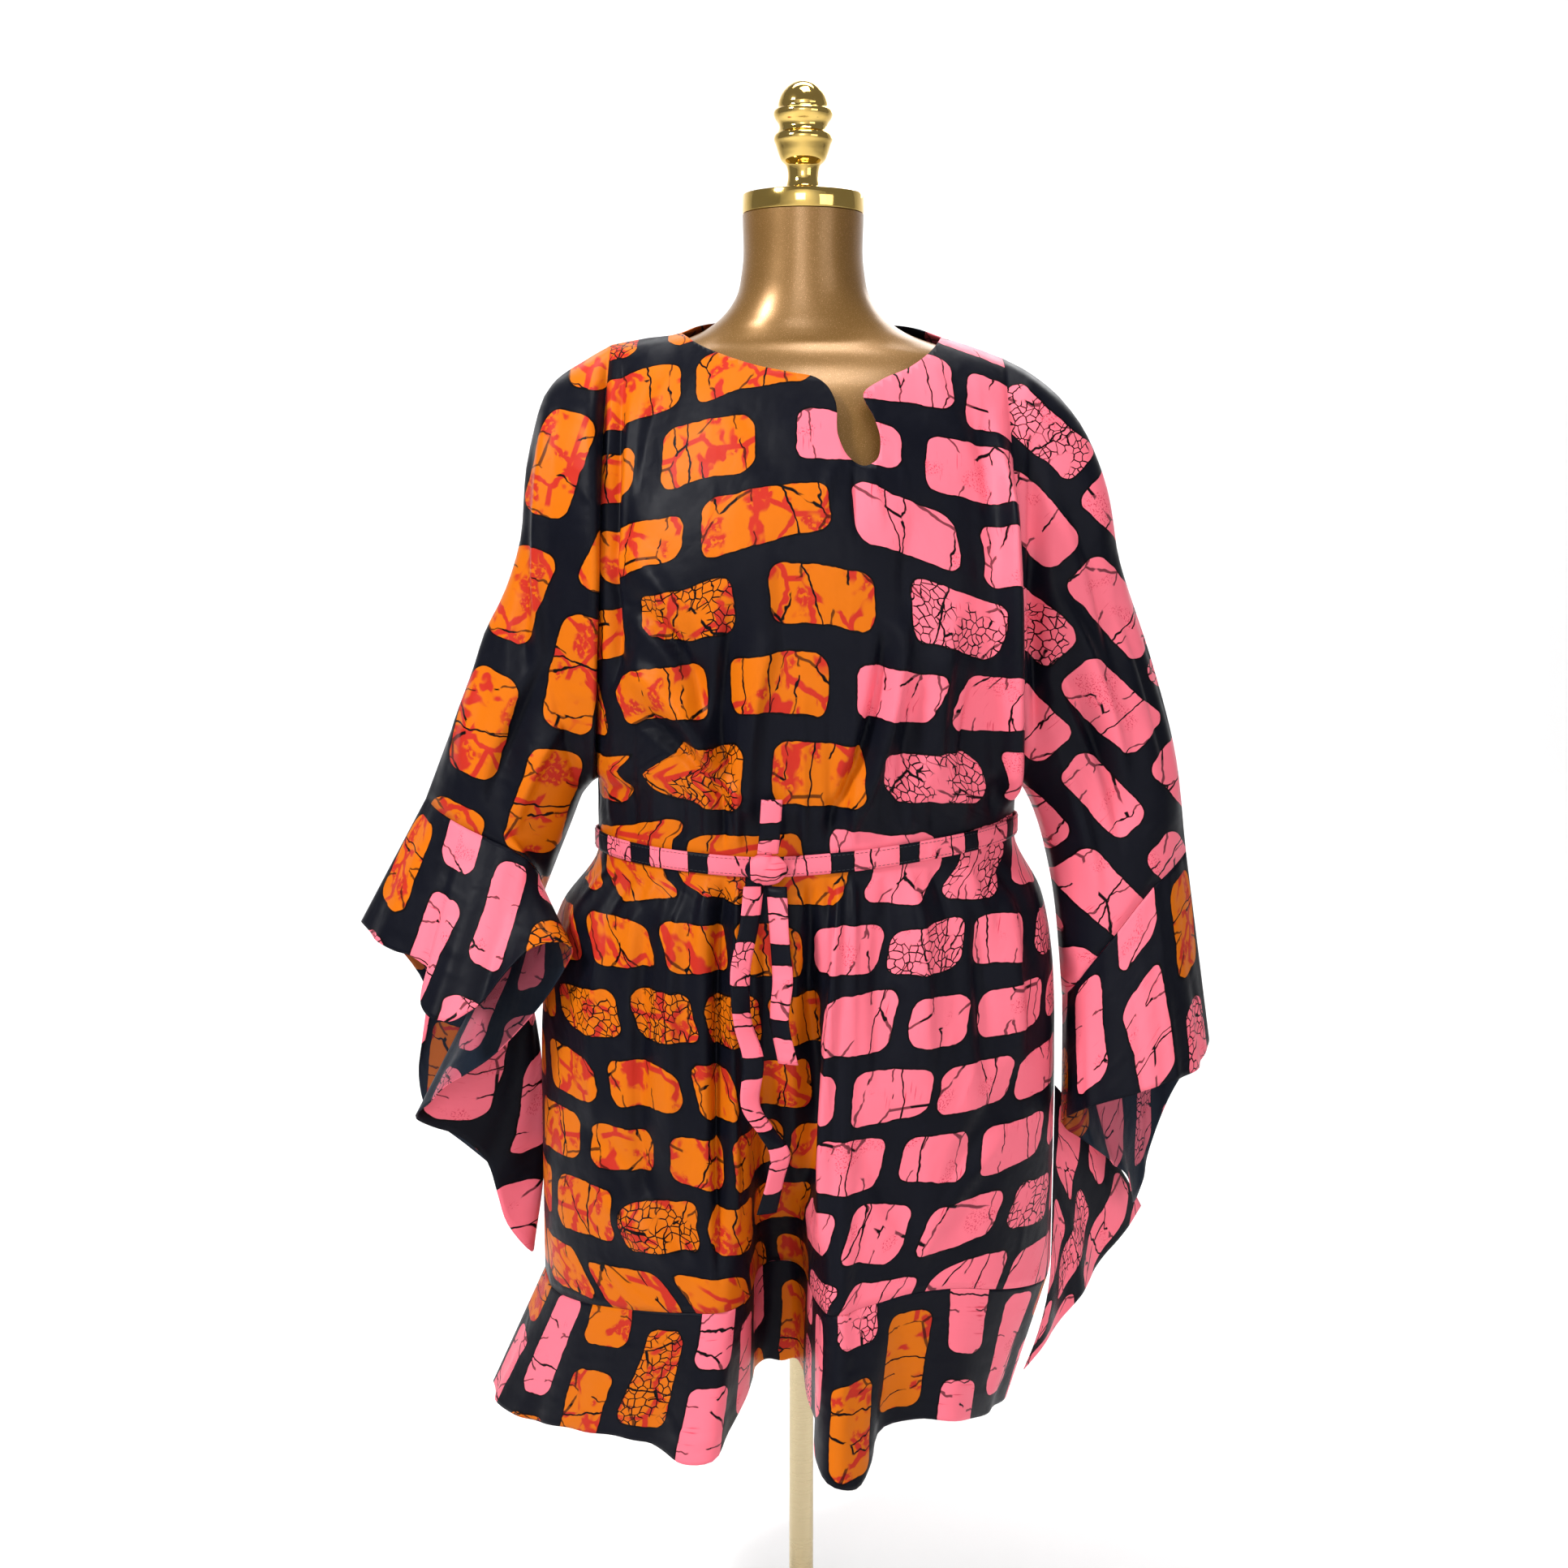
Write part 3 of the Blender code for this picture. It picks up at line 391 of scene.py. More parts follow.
# Soft folds on the front, in the front view: x, z, to x, z, width, height (below 0 is a trough), bow
frontCreases = [
    (-0.170, 1.372, -0.176, 1.060, 0.007, -0.014, 0.004),
    (-0.160, 1.340, -0.166, 1.090, 0.009, 0.006, 0.006),
    (-0.120, 1.360, -0.150, 1.230, 0.012, -0.005, 0.010),
    (-0.168, 1.200, -0.100, 1.085, 0.014, 0.007, -0.014),
    (-0.170, 1.150, -0.092, 1.040, 0.010, -0.009, -0.016),
    (-0.166, 1.090, -0.075, 0.990, 0.011, 0.008, -0.014),
    (-0.160, 1.040, -0.070, 0.955, 0.008, -0.007, -0.010),
    (-0.110, 1.060, -0.045, 0.950, 0.009, 0.006, 0.008),
    (-0.062, 1.150, -0.078, 0.960, 0.010, -0.007, 0.006),
    (-0.030, 1.110, -0.050, 0.945, 0.012, 0.005, 0.006),
    (-0.020, 1.220, -0.010, 1.060, 0.020, -0.004, 0.006),
    (0.072, 1.120, 0.018, 0.935, 0.009, -0.011, -0.012),
    (0.092, 1.130, 0.044, 0.935, 0.011, 0.009, -0.010),
    (0.112, 1.090, 0.088, 0.945, 0.010, -0.006, 0.006),
    (0.140, 1.140, 0.122, 0.960, 0.012, 0.006, 0.006),
    (0.160, 1.080, 0.148, 0.960, 0.010, -0.006, 0.004),
    (0.110, 1.240, 0.092, 1.130, 0.016, -0.004, 0.008),
    (0.150, 1.330, 0.176, 1.170, 0.012, -0.004, -0.006),
    (0.110, 1.370, 0.155, 1.250, 0.014, 0.003, -0.004),
    (-0.060, 1.320, -0.010, 1.240, 0.014, -0.003, 0.004),
    (0.045, 1.268, 0.047, 1.205, 0.004, -0.004, 0.001),
    (0.055, 1.268, 0.072, 1.215, 0.004, 0.003, -0.002),
    (0.038, 1.276, 0.015, 1.225, 0.004, 0.003, 0.002),
    (-0.150, 0.880, -0.158, 0.560, 0.010, -0.006, 0.003),
    (-0.118, 0.880, -0.120, 0.620, 0.012, 0.005, 0.004),
    (-0.080, 0.880, -0.078, 0.500, 0.008, -0.012, 0.003),
    (-0.062, 0.880, -0.062, 0.540, 0.008, 0.007, 0.003),
    (-0.190, 0.850, -0.198, 0.640, 0.010, 0.005, 0.003),
    (-0.036, 0.880, -0.034, 0.560, 0.010, -0.006, 0.002),
    (0.004, 0.890, 0.000, 0.560, 0.009, -0.014, 0.001),
    (0.034, 0.890, 0.018, 0.540, 0.007, 0.009, 0.002),
    (0.072, 0.880, 0.070, 0.690, 0.014, -0.004, 0.003),
    (0.112, 0.880, 0.120, 0.700, 0.012, 0.004, 0.003),
    (0.165, 0.880, 0.178, 0.660, 0.012, -0.005, 0.003),
    (0.200, 0.870, 0.212, 0.700, 0.010, 0.005, 0.003),
    (0.215, 0.700, 0.120, 0.560, 0.018, -0.004, 0.010),
    (0.205, 0.640, 0.100, 0.520, 0.014, 0.004, 0.010),
    (0.050, 0.660, 0.110, 0.540, 0.016, -0.003, 0.006),
    (-0.205, 0.640, -0.100, 0.510, 0.016, -0.005, -0.010),
    (-0.200, 0.580, -0.080, 0.495, 0.012, 0.004, -0.008),
    (-0.232, 1.350, -0.246, 1.090, 0.008, 0.010, 0.006),
    (-0.252, 1.330, -0.268, 1.060, 0.009, -0.009, 0.006),
    (-0.272, 1.200, -0.330, 0.980, 0.012, 0.006, 0.008),
    (-0.240, 1.090, -0.300, 0.950, 0.010, -0.007, 0.006),
    (-0.225, 1.030, -0.276, 0.920, 0.008, 0.006, 0.006),
    (-0.300, 1.110, -0.352, 0.960, 0.010, -0.005, 0.004),
    (0.212, 1.300, 0.222, 1.000, 0.006, -0.012, 0.002),
    (0.250, 1.330, 0.292, 1.190, 0.014, 0.005, -0.006),
    (0.238, 1.250, 0.300, 1.060, 0.012, -0.007, -0.008),
    (0.232, 1.160, 0.312, 0.960, 0.011, 0.007, -0.010),
    (0.236, 1.080, 0.306, 0.910, 0.009, -0.008, -0.010),
    (0.240, 1.010, 0.290, 0.850, 0.010, 0.006, -0.006),
    (0.300, 1.150, 0.356, 0.960, 0.012, -0.005, -0.006),
]

# Similar soft folds on the back
backCreases = [
    (-0.150, 1.340, -0.110, 1.120, 0.016, -0.005, 0.008),
    (0.140, 1.330, 0.090, 1.100, 0.016, -0.005, -0.008),
    (-0.060, 1.250, -0.040, 1.000, 0.014, 0.004, 0.006),
    (0.050, 1.220, 0.070, 0.990, 0.014, -0.004, 0.006),
    (-0.170, 1.080, -0.100, 0.970, 0.012, -0.005, -0.010),
    (0.175, 1.070, 0.110, 0.960, 0.012, -0.004, 0.010),
    (-0.120, 0.880, -0.135, 0.640, 0.014, -0.006, 0.004),
    (-0.030, 0.880, -0.036, 0.600, 0.014, 0.006, 0.004),
    (0.060, 0.880, 0.070, 0.660, 0.014, -0.006, 0.004),
    (0.150, 0.880, 0.170, 0.700, 0.014, 0.005, 0.004),
    (-0.265, 1.330, -0.290, 1.060, 0.014, -0.006, 0.008),
    (-0.235, 1.180, -0.290, 0.960, 0.012, 0.005, 0.006),
    (0.250, 1.310, 0.310, 1.060, 0.014, -0.006, -0.008),
    (0.240, 1.120, 0.310, 0.920, 0.012, 0.005, -0.006),
]

# Small gathers held by the belt: place across, width, height
beltGathers = {
    "front": [
        (-0.90, 0.030, 0.0030), (-0.80, 0.024, -0.0030), (-0.68, 0.030, 0.0026), (-0.56, 0.020, -0.0026),
        (-0.44, 0.026, 0.0040), (-0.37, 0.018, -0.0046), (-0.30, 0.020, 0.0036), (-0.12, 0.024, -0.0020),
        (0.00, 0.022, 0.0030), (0.12, 0.026, -0.0040), (0.22, 0.020, 0.0040), (0.36, 0.026, -0.0026),
        (0.47, 0.020, 0.0034), (0.58, 0.026, -0.0034), (0.72, 0.030, 0.0030), (0.86, 0.024, -0.0030),
    ],
    "back": [
        (-0.82, 0.030, 0.0030), (-0.64, 0.026, -0.0034), (-0.50, 0.022, 0.0036), (-0.30, 0.030, -0.0030),
        (-0.14, 0.024, 0.0030), (0.02, 0.022, -0.0034), (0.18, 0.026, 0.0036), (0.34, 0.022, -0.0030),
        (0.50, 0.028, 0.0032), (0.66, 0.024, -0.0032), (0.84, 0.030, 0.0030),
    ],
}

# Waves of each flounce: share of the way round, width, height at the hem
flounceWaves = {
    "front": [
        (0.04, 0.020, 0.006), (0.11, 0.016, -0.005), (0.19, 0.022, 0.006), (0.26, 0.014, -0.006),
        (0.33, 0.018, 0.005), (0.62, 0.016, -0.005), (0.69, 0.020, 0.006), (0.77, 0.016, -0.006),
        (0.84, 0.020, 0.006), (0.92, 0.016, -0.005),
    ],
    "back": [
        (0.08, 0.020, 0.006), (0.17, 0.016, -0.006), (0.29, 0.022, 0.006), (0.41, 0.016, -0.005),
        (0.52, 0.020, 0.006), (0.63, 0.018, -0.006), (0.74, 0.020, 0.006), (0.88, 0.018, -0.005),
    ],
    "right": [
        (0.05, 0.018, 0.004), (0.13, 0.014, -0.005), (0.21, 0.016, 0.004), (0.29, 0.014, -0.004),
        (0.57, 0.014, 0.003), (0.70, 0.012, -0.003), (0.84, 0.016, 0.004), (0.93, 0.014, -0.004),
    ],
    "left": [
        (0.06, 0.018, 0.004), (0.15, 0.016, -0.005), (0.24, 0.018, 0.004), (0.36, 0.014, -0.004),
        (0.52, 0.014, 0.003), (0.66, 0.012, -0.003), (0.80, 0.014, 0.003), (0.92, 0.016, -0.004),
    ],
}


def smoothThrough(knots, values, places):
    knots = np.asarray(knots, float)
    values = np.asarray(values, float)
    if values.ndim == 1:
        values = values[:, None]
    steps = np.diff(knots)
    slopes = np.diff(values, axis=0) / steps[:, None]
    tangents = np.empty_like(values)
    tangents[0] = slopes[0]
    tangents[-1] = slopes[-1]
    before = steps[:-1, None]
    after = steps[1:, None]
    tangents[1:-1] = (slopes[:-1] * after + slopes[1:] * before) / (before + after)
    places = np.atleast_1d(places)
    spot = np.clip(np.searchsorted(knots, places, side="right") - 1, 0, len(steps) - 1)
    width = steps[spot][:, None]
    t = ((places - knots[spot]) / steps[spot])[:, None]
    result = (2 * t**3 - 3 * t**2 + 1) * values[spot] + (t**3 - 2 * t**2 + t) * width * tangents[spot]
    return result + (3 * t**2 - 2 * t**3) * values[spot + 1] + (t**3 - t**2) * width * tangents[spot + 1]


def throughTable(table, columns, places):
    return smoothThrough([row[0] for row in table], [row[columns] for row in table], places)


def onLine(places, knots, points):
    return np.stack([np.interp(places, knots, points[:, axis]) for axis in range(3)], axis=1)


def columnsOf(table):
    rows = [row[0] for row in table]
    middles = [(first + second) / 2 for first, second in zip(rows, rows[1:])]
    return np.array(sorted(rows + middles))


def armFraction(step):
    return (1 - math.cos(math.pi * step / armRows)) / 2


def unit(vectors):
    return vectors / np.maximum(np.linalg.norm(vectors, axis=-1)[..., None], 1e-9)


def keepOffMiddle(points, sign):
    points = points.copy()
    points[..., 1] = sign * np.maximum(points[..., 1] * sign, seamHalf)
    return points


def bodyPanel(side):
    table = foldTables[side]
    sign = sideSigns[side]
    depthColumn = 1 if side == "front" else 2
    across = columnsOf(table)
    crown = np.power(np.clip(1 - np.abs(across) ** crownSquare, 0, 1), crownPower)
    shoulder = np.where(across < 0, across * shoulderX[-1], across * shoulderX[1])
    waist = np.where(across < 0, across * waistX[-1], across * waistX[1])
    ridge = throughTable(shoulderLine, 1, shoulder)[:, 0]
    beltZ = throughTable(beltLine, 1, across)[:, 0]
    folds = throughTable(table, slice(1, 4), across)
    rows = []
    for step in range(armRows + 1):
        part = armFraction(step)
        z = ridge + (underarmZ - ridge) * part
        x = shoulder + (waist - shoulder) * part
        middle = throughTable(bodyDepth, depthColumn, ridge - z)[:, 0]
        edge = armholeDepth * math.sin(math.pi * part) ** 0.5 if 0 < step < armRows else 0.0
        y = edge + (middle - edge) * crown
        if side == "front":
            strength = np.clip((leftFoldAt["top"] - z) / leftFoldAt["ease"], 0, 1)
            bump = np.exp(-(((across - leftFoldAt["across"]) / leftFoldAt["width"]) ** 2)) * strength
            x = x + bump * sleeveFold[1][0]
            y = y + bump * sleeveFold[1][1]
        rows.append(np.stack([x, sign * y, z], axis=1))
    beltY = sign * beltDepth[side] * crown
    for offset in (beltHalf + beltClear, -beltHalf - beltClear):
        rows.append(np.stack([waist, beltY, beltZ + offset], axis=1))
    lowBelt = rows[-1]
    shut = folds[:, 1].copy()
    if side == "front":
        inside = (across > foldEdges[0]) & (across < foldEdges[1])
        edges = np.interp(foldEdges, across, shut)
        shut[inside] = np.interp(across[inside], foldEdges, edges)
    for step in range(1, skirtRows + 1):
        part = step / skirtRows
        flare = 1 - (1 - part) ** 7
        opened = max(0.0, (part - foldStart) / (1 - foldStart))
        target = shut + (folds[:, 1] - shut) * opened**0.9
        row = lowBelt + (folds - lowBelt) * flare
        row[:, 1] = lowBelt[:, 1] + (target - lowBelt[:, 1]) * part**0.7
        row[:, 2] = lowBelt[:, 2] + (folds[:, 2] - lowBelt[:, 2]) * part
        rows.append(row)
    return keepOffMiddle(np.array(rows), sign)


def roundCuff(hand, columns, count):
    table = sleeveFlounces[hand]
    return throughTable(table + [(1.0, *table[0][1:])], columns, np.linspace(0, 1, count + 1))


def cuffPoints(hand, count):
    corners = roundCuff(hand, slice(1, 4), 2 * armRows)
    return onLine(np.linspace(0, 2 * armRows, count + 1), np.arange(2 * armRows + 1), corners)


def wingPanel(side, hand, armhole):
    sign = sideSigns[side]
    cuff = cuffPoints(hand, 2 * armRows)
    rows = []
    for step in range(armRows + 1):
        part = armFraction(step)
        swing = math.sin(math.pi * step / armRows)
        row = [armhole[step]]
        for number, (topX, topZ, lowX, lowZ, depth) in enumerate(wingRings[hand]):
            x = topX + (lowX - topX) * part
            z = topZ + (lowZ - topZ) * part
            y = sign * depth * swing**0.8
            if side == "front" and hand == -1 and number < 2:
                lap = swing * (1.0 if number == 0 else 0.45)
                x = x + sleeveFold[-1][0] * lap
                y = y - sleeveFold[-1][1] * lap
            row.append(np.array([x, y, z]))
        row.append(cuff[step] if side == "front" else cuff[2 * armRows - step])
        rows.append(row)
    return keepOffMiddle(np.array(rows), sign)


def seamReach(before, top, hem):
    down = unit(hem - top)
    along = unit(np.gradient(top, axis=0))
    turn = np.clip(np.sum(unit(top - before) * down, axis=1), -0.5, 1.0)
    bend = np.sqrt((1 - turn) / (1 + turn))
    slant = np.sqrt(np.clip(1 - np.sum(down * along, axis=1) ** 2, 0.2, 1.0))
    return ((seamEdge + wall * bend) / slant)[:, None]


def hangingRow(top, hem, part, belly):
    row = top + (hem - top) * part
    row[:, 0] += belly * 4 * part * (1 - part)
    return row


def flounceGrid(before, top, hem, rows, belly):
    first = top + unit(hem - top) * seamReach(before, top, hem) * seamShare
    return np.array([first] + [hangingRow(top, hem, step / rows, belly) for step in range(1, rows + 1)])


def runLengths(grid, axis):
    # Length run along each line of a grid.
    moved = np.moveaxis(grid, axis, 0)
    steps = np.linalg.norm(np.diff(moved, axis=0), axis=2)
    runs = np.concatenate([np.zeros((1, moved.shape[1])), np.cumsum(steps, axis=0)])
    return np.moveaxis(runs, 0, axis)


def refine(grid, rowFactor, columnFactor, closed=False):
    # The same surface through the same points, with more rows and columns.
    rows, columns = grid.shape[:2]
    pad = 3 if closed else 0
    if closed:
        grid = np.concatenate([grid[:, -pad:], grid, grid[:, : pad + 1]], axis=1)
    knots = runLengths(grid, 0).mean(axis=1)
    places = np.interp(np.linspace(0, rows - 1, (rows - 1) * rowFactor + 1), np.arange(rows), knots)
    flat = smoothThrough(knots, grid.reshape(rows, -1), places)
    grid = flat.reshape(len(places), grid.shape[1], 3)
    wide = grid.shape[1]
    knots = runLengths(grid, 1).mean(axis=0)
    first = pad
    last = pad + columns if closed else columns - 1
    spots = np.linspace(first, last, (last - first) * columnFactor + 1)
    places = np.interp(spots, np.arange(wide), knots)
    flipped = np.moveaxis(grid, 1, 0)
    flat = smoothThrough(knots, flipped.reshape(wide, -1), places)
    return np.moveaxis(flat.reshape(len(places), grid.shape[0], 3), 0, 1)


def placesFrom(across, down):
    return np.stack(np.broadcast_arrays(across, down), axis=2)


def gridNormals(grid, closed=False):
    if closed:
        wrapped = np.concatenate([grid[:, -2:-1], grid, grid[:, 1:2]], axis=1)
        across = np.gradient(wrapped, axis=1)[:, 1:-1]
    else:
        across = np.gradient(grid, axis=1)
    return unit(np.cross(np.gradient(grid, axis=0), across))


def creaseHeights(grid, table):
    x = grid[..., 0]
    z = grid[..., 2]
    total = np.zeros(x.shape)
    for x0, z0, x1, z1, width, height, bow in table:
        run = math.hypot(x1 - x0, z1 - z0)
        dx = (x1 - x0) / run
        dz = (z1 - z0) / run
        t = ((x - x0) * dx + (z - z0) * dz) / run
        side = (x - x0) * dz - (z - z0) * dx - bow * 4 * t * (1 - t)
        ends = np.sin(math.pi * np.clip(t, 0, 1)) ** 0.7
        spread = width * np.where(side * height < 0, steepSide, gentleSide)
        total += height * ends * np.exp(-(np.abs(side / spread) ** 1.7))
    return total * np.interp(z, (1.12, 1.18), (lowGain, highGain))


def waveHeights(places, table):
    total = np.zeros(places.shape)
    for place, width, height in table:
        total += height * np.exp(-(((places - place) / width) ** 2))
    return total


def newThing(name, data):
    thing = bpy.data.objects.new(name, data)
    bpy.context.scene.collection.objects.link(thing)
    return thing


def newMesh(name, verts, faces, edges=()):
    mesh = bpy.data.meshes.new(name)
    mesh.from_pydata(verts, edges, faces)
    return mesh


def weld(mesh, turnOutward=False):
    work = bmesh.new()
    work.from_mesh(mesh)
    bmesh.ops.remove_doubles(work, verts=work.verts, dist=meetReach)
    if turnOutward:
        bmesh.ops.recalc_face_normals(work, faces=work.faces)
    work.to_mesh(mesh)
    work.free()
    mesh.shade_smooth()


def meshFrom(name, parts):
    # One mesh from grids of points with cloth places in metres and a material for each face row.
    verts = []
    faces = []
    places = []
    slots = []
    for grid, uv, closed, rowSlots in parts:
        rows, columns = grid.shape[:2]
        if closed:
            columns -= 1
        start = len(verts)
        verts.extend(map(tuple, grid[:, :columns].reshape(-1, 3)))
        last = columns if closed else columns - 1
        for r in range(rows - 1):
            for c in range(last):
                after = (c + 1) % columns
                faces.append(
                    (start + r * columns + c, start + (r + 1) * columns + c,
                     start + (r + 1) * columns + after, start + r * columns + after)
                )
                places.extend((uv[r, c], uv[r + 1, c], uv[r + 1, c + 1], uv[r, c + 1]))
                slots.append(rowSlots[r])
    mesh = newMesh(name, verts, faces)
    layer = mesh.uv_layers.new(name="cloth")
    layer.data.foreach_set("uv", np.array(places, float).ravel())
    mesh.polygons.foreach_set("material_index", np.array(slots))
    weld(mesh)
    return newThing(name, mesh)


def ringFaces(rows, around):
    faces = []
    for low in range(0, (rows - 1) * around, around):
        for c in range(around):
            after = (c + 1) % around
            faces.append((low + c, low + after, low + around + after, low + around + c))
    return faces


def evaluated(thing):
    graph = bpy.context.evaluated_depsgraph_get()
    graph.update()
    return bpy.data.meshes.new_from_object(thing.evaluated_get(graph))


def bake(thing):
    mesh = evaluated(thing)
    thing.modifiers.clear()
    thing.data = mesh
    mesh.shade_smooth()


def finishCloth(thing, faceMaterials, cutter=None, thickness=shell):
    # Gives a sheet its thickness, a darkened copy of its print on the inner side as painted shade, and its
    # cut opening.
    for material in faceMaterials:
        thing.data.materials.append(material)
    count = len(faceMaterials) // 2
    solid = thing.modifiers.new("thickness", "SOLIDIFY")
    solid.thickness = thickness
    solid.offset = 0.0
    solid.material_offset = count
    solid.material_offset_rim = 0
    if cutter:
        opening = thing.modifiers.new("opening", "BOOLEAN")
        opening.operation = "DIFFERENCE"
        opening.solver = "EXACT"
        opening.object = cutter
    bake(thing)
    if cutter:
        bpy.data.objects.remove(cutter, do_unlink=True)


def neckCutter(outline, reach):
    knots = np.cumsum([0] + [math.dist(a, b) for a, b in zip(outline, outline[1:])])
    fine = smoothThrough(knots, outline, np.linspace(0, knots[-1], 120))
    fine = [tuple(p) for p in fine] + [(outline[-1][0], cutterTop), (outline[0][0], cutterTop)]
    work = bmesh.new()
    ends = [[work.verts.new((x, y, z)) for x, z in fine] for y in (-0.1 * reach, reach)]
    work.faces.new(ends[0])
    work.faces.new(list(reversed(ends[1])))
    for first in range(len(fine)):
        second = (first + 1) % len(fine)
        work.faces.new((ends[0][first], ends[1][first], ends[1][second], ends[0][second]))
    bmesh.ops.recalc_face_normals(work, faces=work.faces)
    mesh = bpy.data.meshes.new("neckCutter")
    work.to_mesh(mesh)
    work.free()
    return newThing("neckCutter", mesh)


# Materials


class Value:
    # One value inside a material, so that sums read as sums.

    def __init__(self, graph, socket):
        self.graph = graph
        self.socket = socket

    def __add__(self, other):
        return self.graph.math("ADD", self, other)

    def __sub__(self, other):
        return self.graph.math("SUBTRACT", self, other)

    def __mul__(self, other):
        return self.graph.math("MULTIPLY", self, other)

    def __truediv__(self, other):
        return self.graph.math("DIVIDE", self, other)

    def __abs__(self):
        return self.graph.math("ABSOLUTE", self, 0.0)


class Graph:
    # Short names for the nodes of one material.

    def __init__(self, name):
        self.material = bpy.data.materials.new(name)
        self.material.use_nodes = True
        self.tree = self.material.node_tree
        self.shader = self.tree.nodes["Principled BSDF"]

    def put(self, kind, inputs=(), **settings):
        node = self.tree.nodes.new(kind)
        for key, value in settings.items():
            setattr(node, key, value)
        for socket, value in inputs.items() if isinstance(inputs, dict) else enumerate(inputs):
            self.join(value, node.inputs[socket])
        return [Value(self, output) for output in node.outputs]

    def join(self, value, target):
        if isinstance(value, Value):
            self.tree.links.new(value.socket, target)
        elif isinstance(value, tuple) and len(value) < len(target.default_value):
            target.default_value = (*value, 1.0)
        else:
            target.default_value = value

    def math(self, operation, first, second=0.0):
        return self.put("ShaderNodeMath", (first, second), operation=operation)[0]

    def most(self, first, second):
        return self.math("MAXIMUM", first, second)

    def ramp(self, value, low, high, start=0.0, end=1.0):
        inputs = (value, low, high, start, end)
        return self.put("ShaderNodeMapRange", inputs, interpolation_type="SMOOTHSTEP")[0]

    def mix(self, factor, first, second):
        return self.put("ShaderNodeMix", {0: factor, 6: first, 7: second}, data_type="RGBA")[2]

    def noise(self, vector, scale, detail=2.0, roughness=0.5):
        inputs = {"Vector": vector, "Scale": scale, "Detail": detail, "Roughness": roughness}
        return self.put("ShaderNodeTexNoise", inputs)[0]

    def vector(self, x, y, z=0.0):
        return self.put("ShaderNodeCombineXYZ", (x, y, z))[0]

    def objectPlace(self):
        objectOutput = 3
        return self.put("ShaderNodeTexCoord")[objectOutput]

    def edgeOf(self, vector, scale):
        settings = {"feature": "DISTANCE_TO_EDGE", "voronoi_dimensions": "2D"}
        return self.put("ShaderNodeTexVoronoi", {"Vector": vector, "Scale": scale}, **settings)[0]

    def bump(self, height, distance, strength):
        inputs = {"Height": height, "Distance": distance, "Strength": strength}
        self.paint(Normal=self.put("ShaderNodeBump", inputs)[0])

    def paint(self, **inputs):
        for key, value in inputs.items():
            self.join(value, self.shader.inputs[key.replace("_", " ")])


navy = (0.0030, 0.0034, 0.0066)
black = (0.0012, 0.0013, 0.0018)
orange = (0.600, 0.135, 0.003)
red = (0.450, 0.012, 0.014)
pink = (0.900, 0.170, 0.235)
crimson = (0.640, 0.020, 0.060)
# dark tint that the inner faces' print is darkened towards: painted shade
insideShadeTint = (0.016, 0.026, 0.044)
threadColour = (0.018, 0.020, 0.026)
weavePitch = 0.0009
farOff = 50.0  # keeps the numbers of rows and blocks above 0


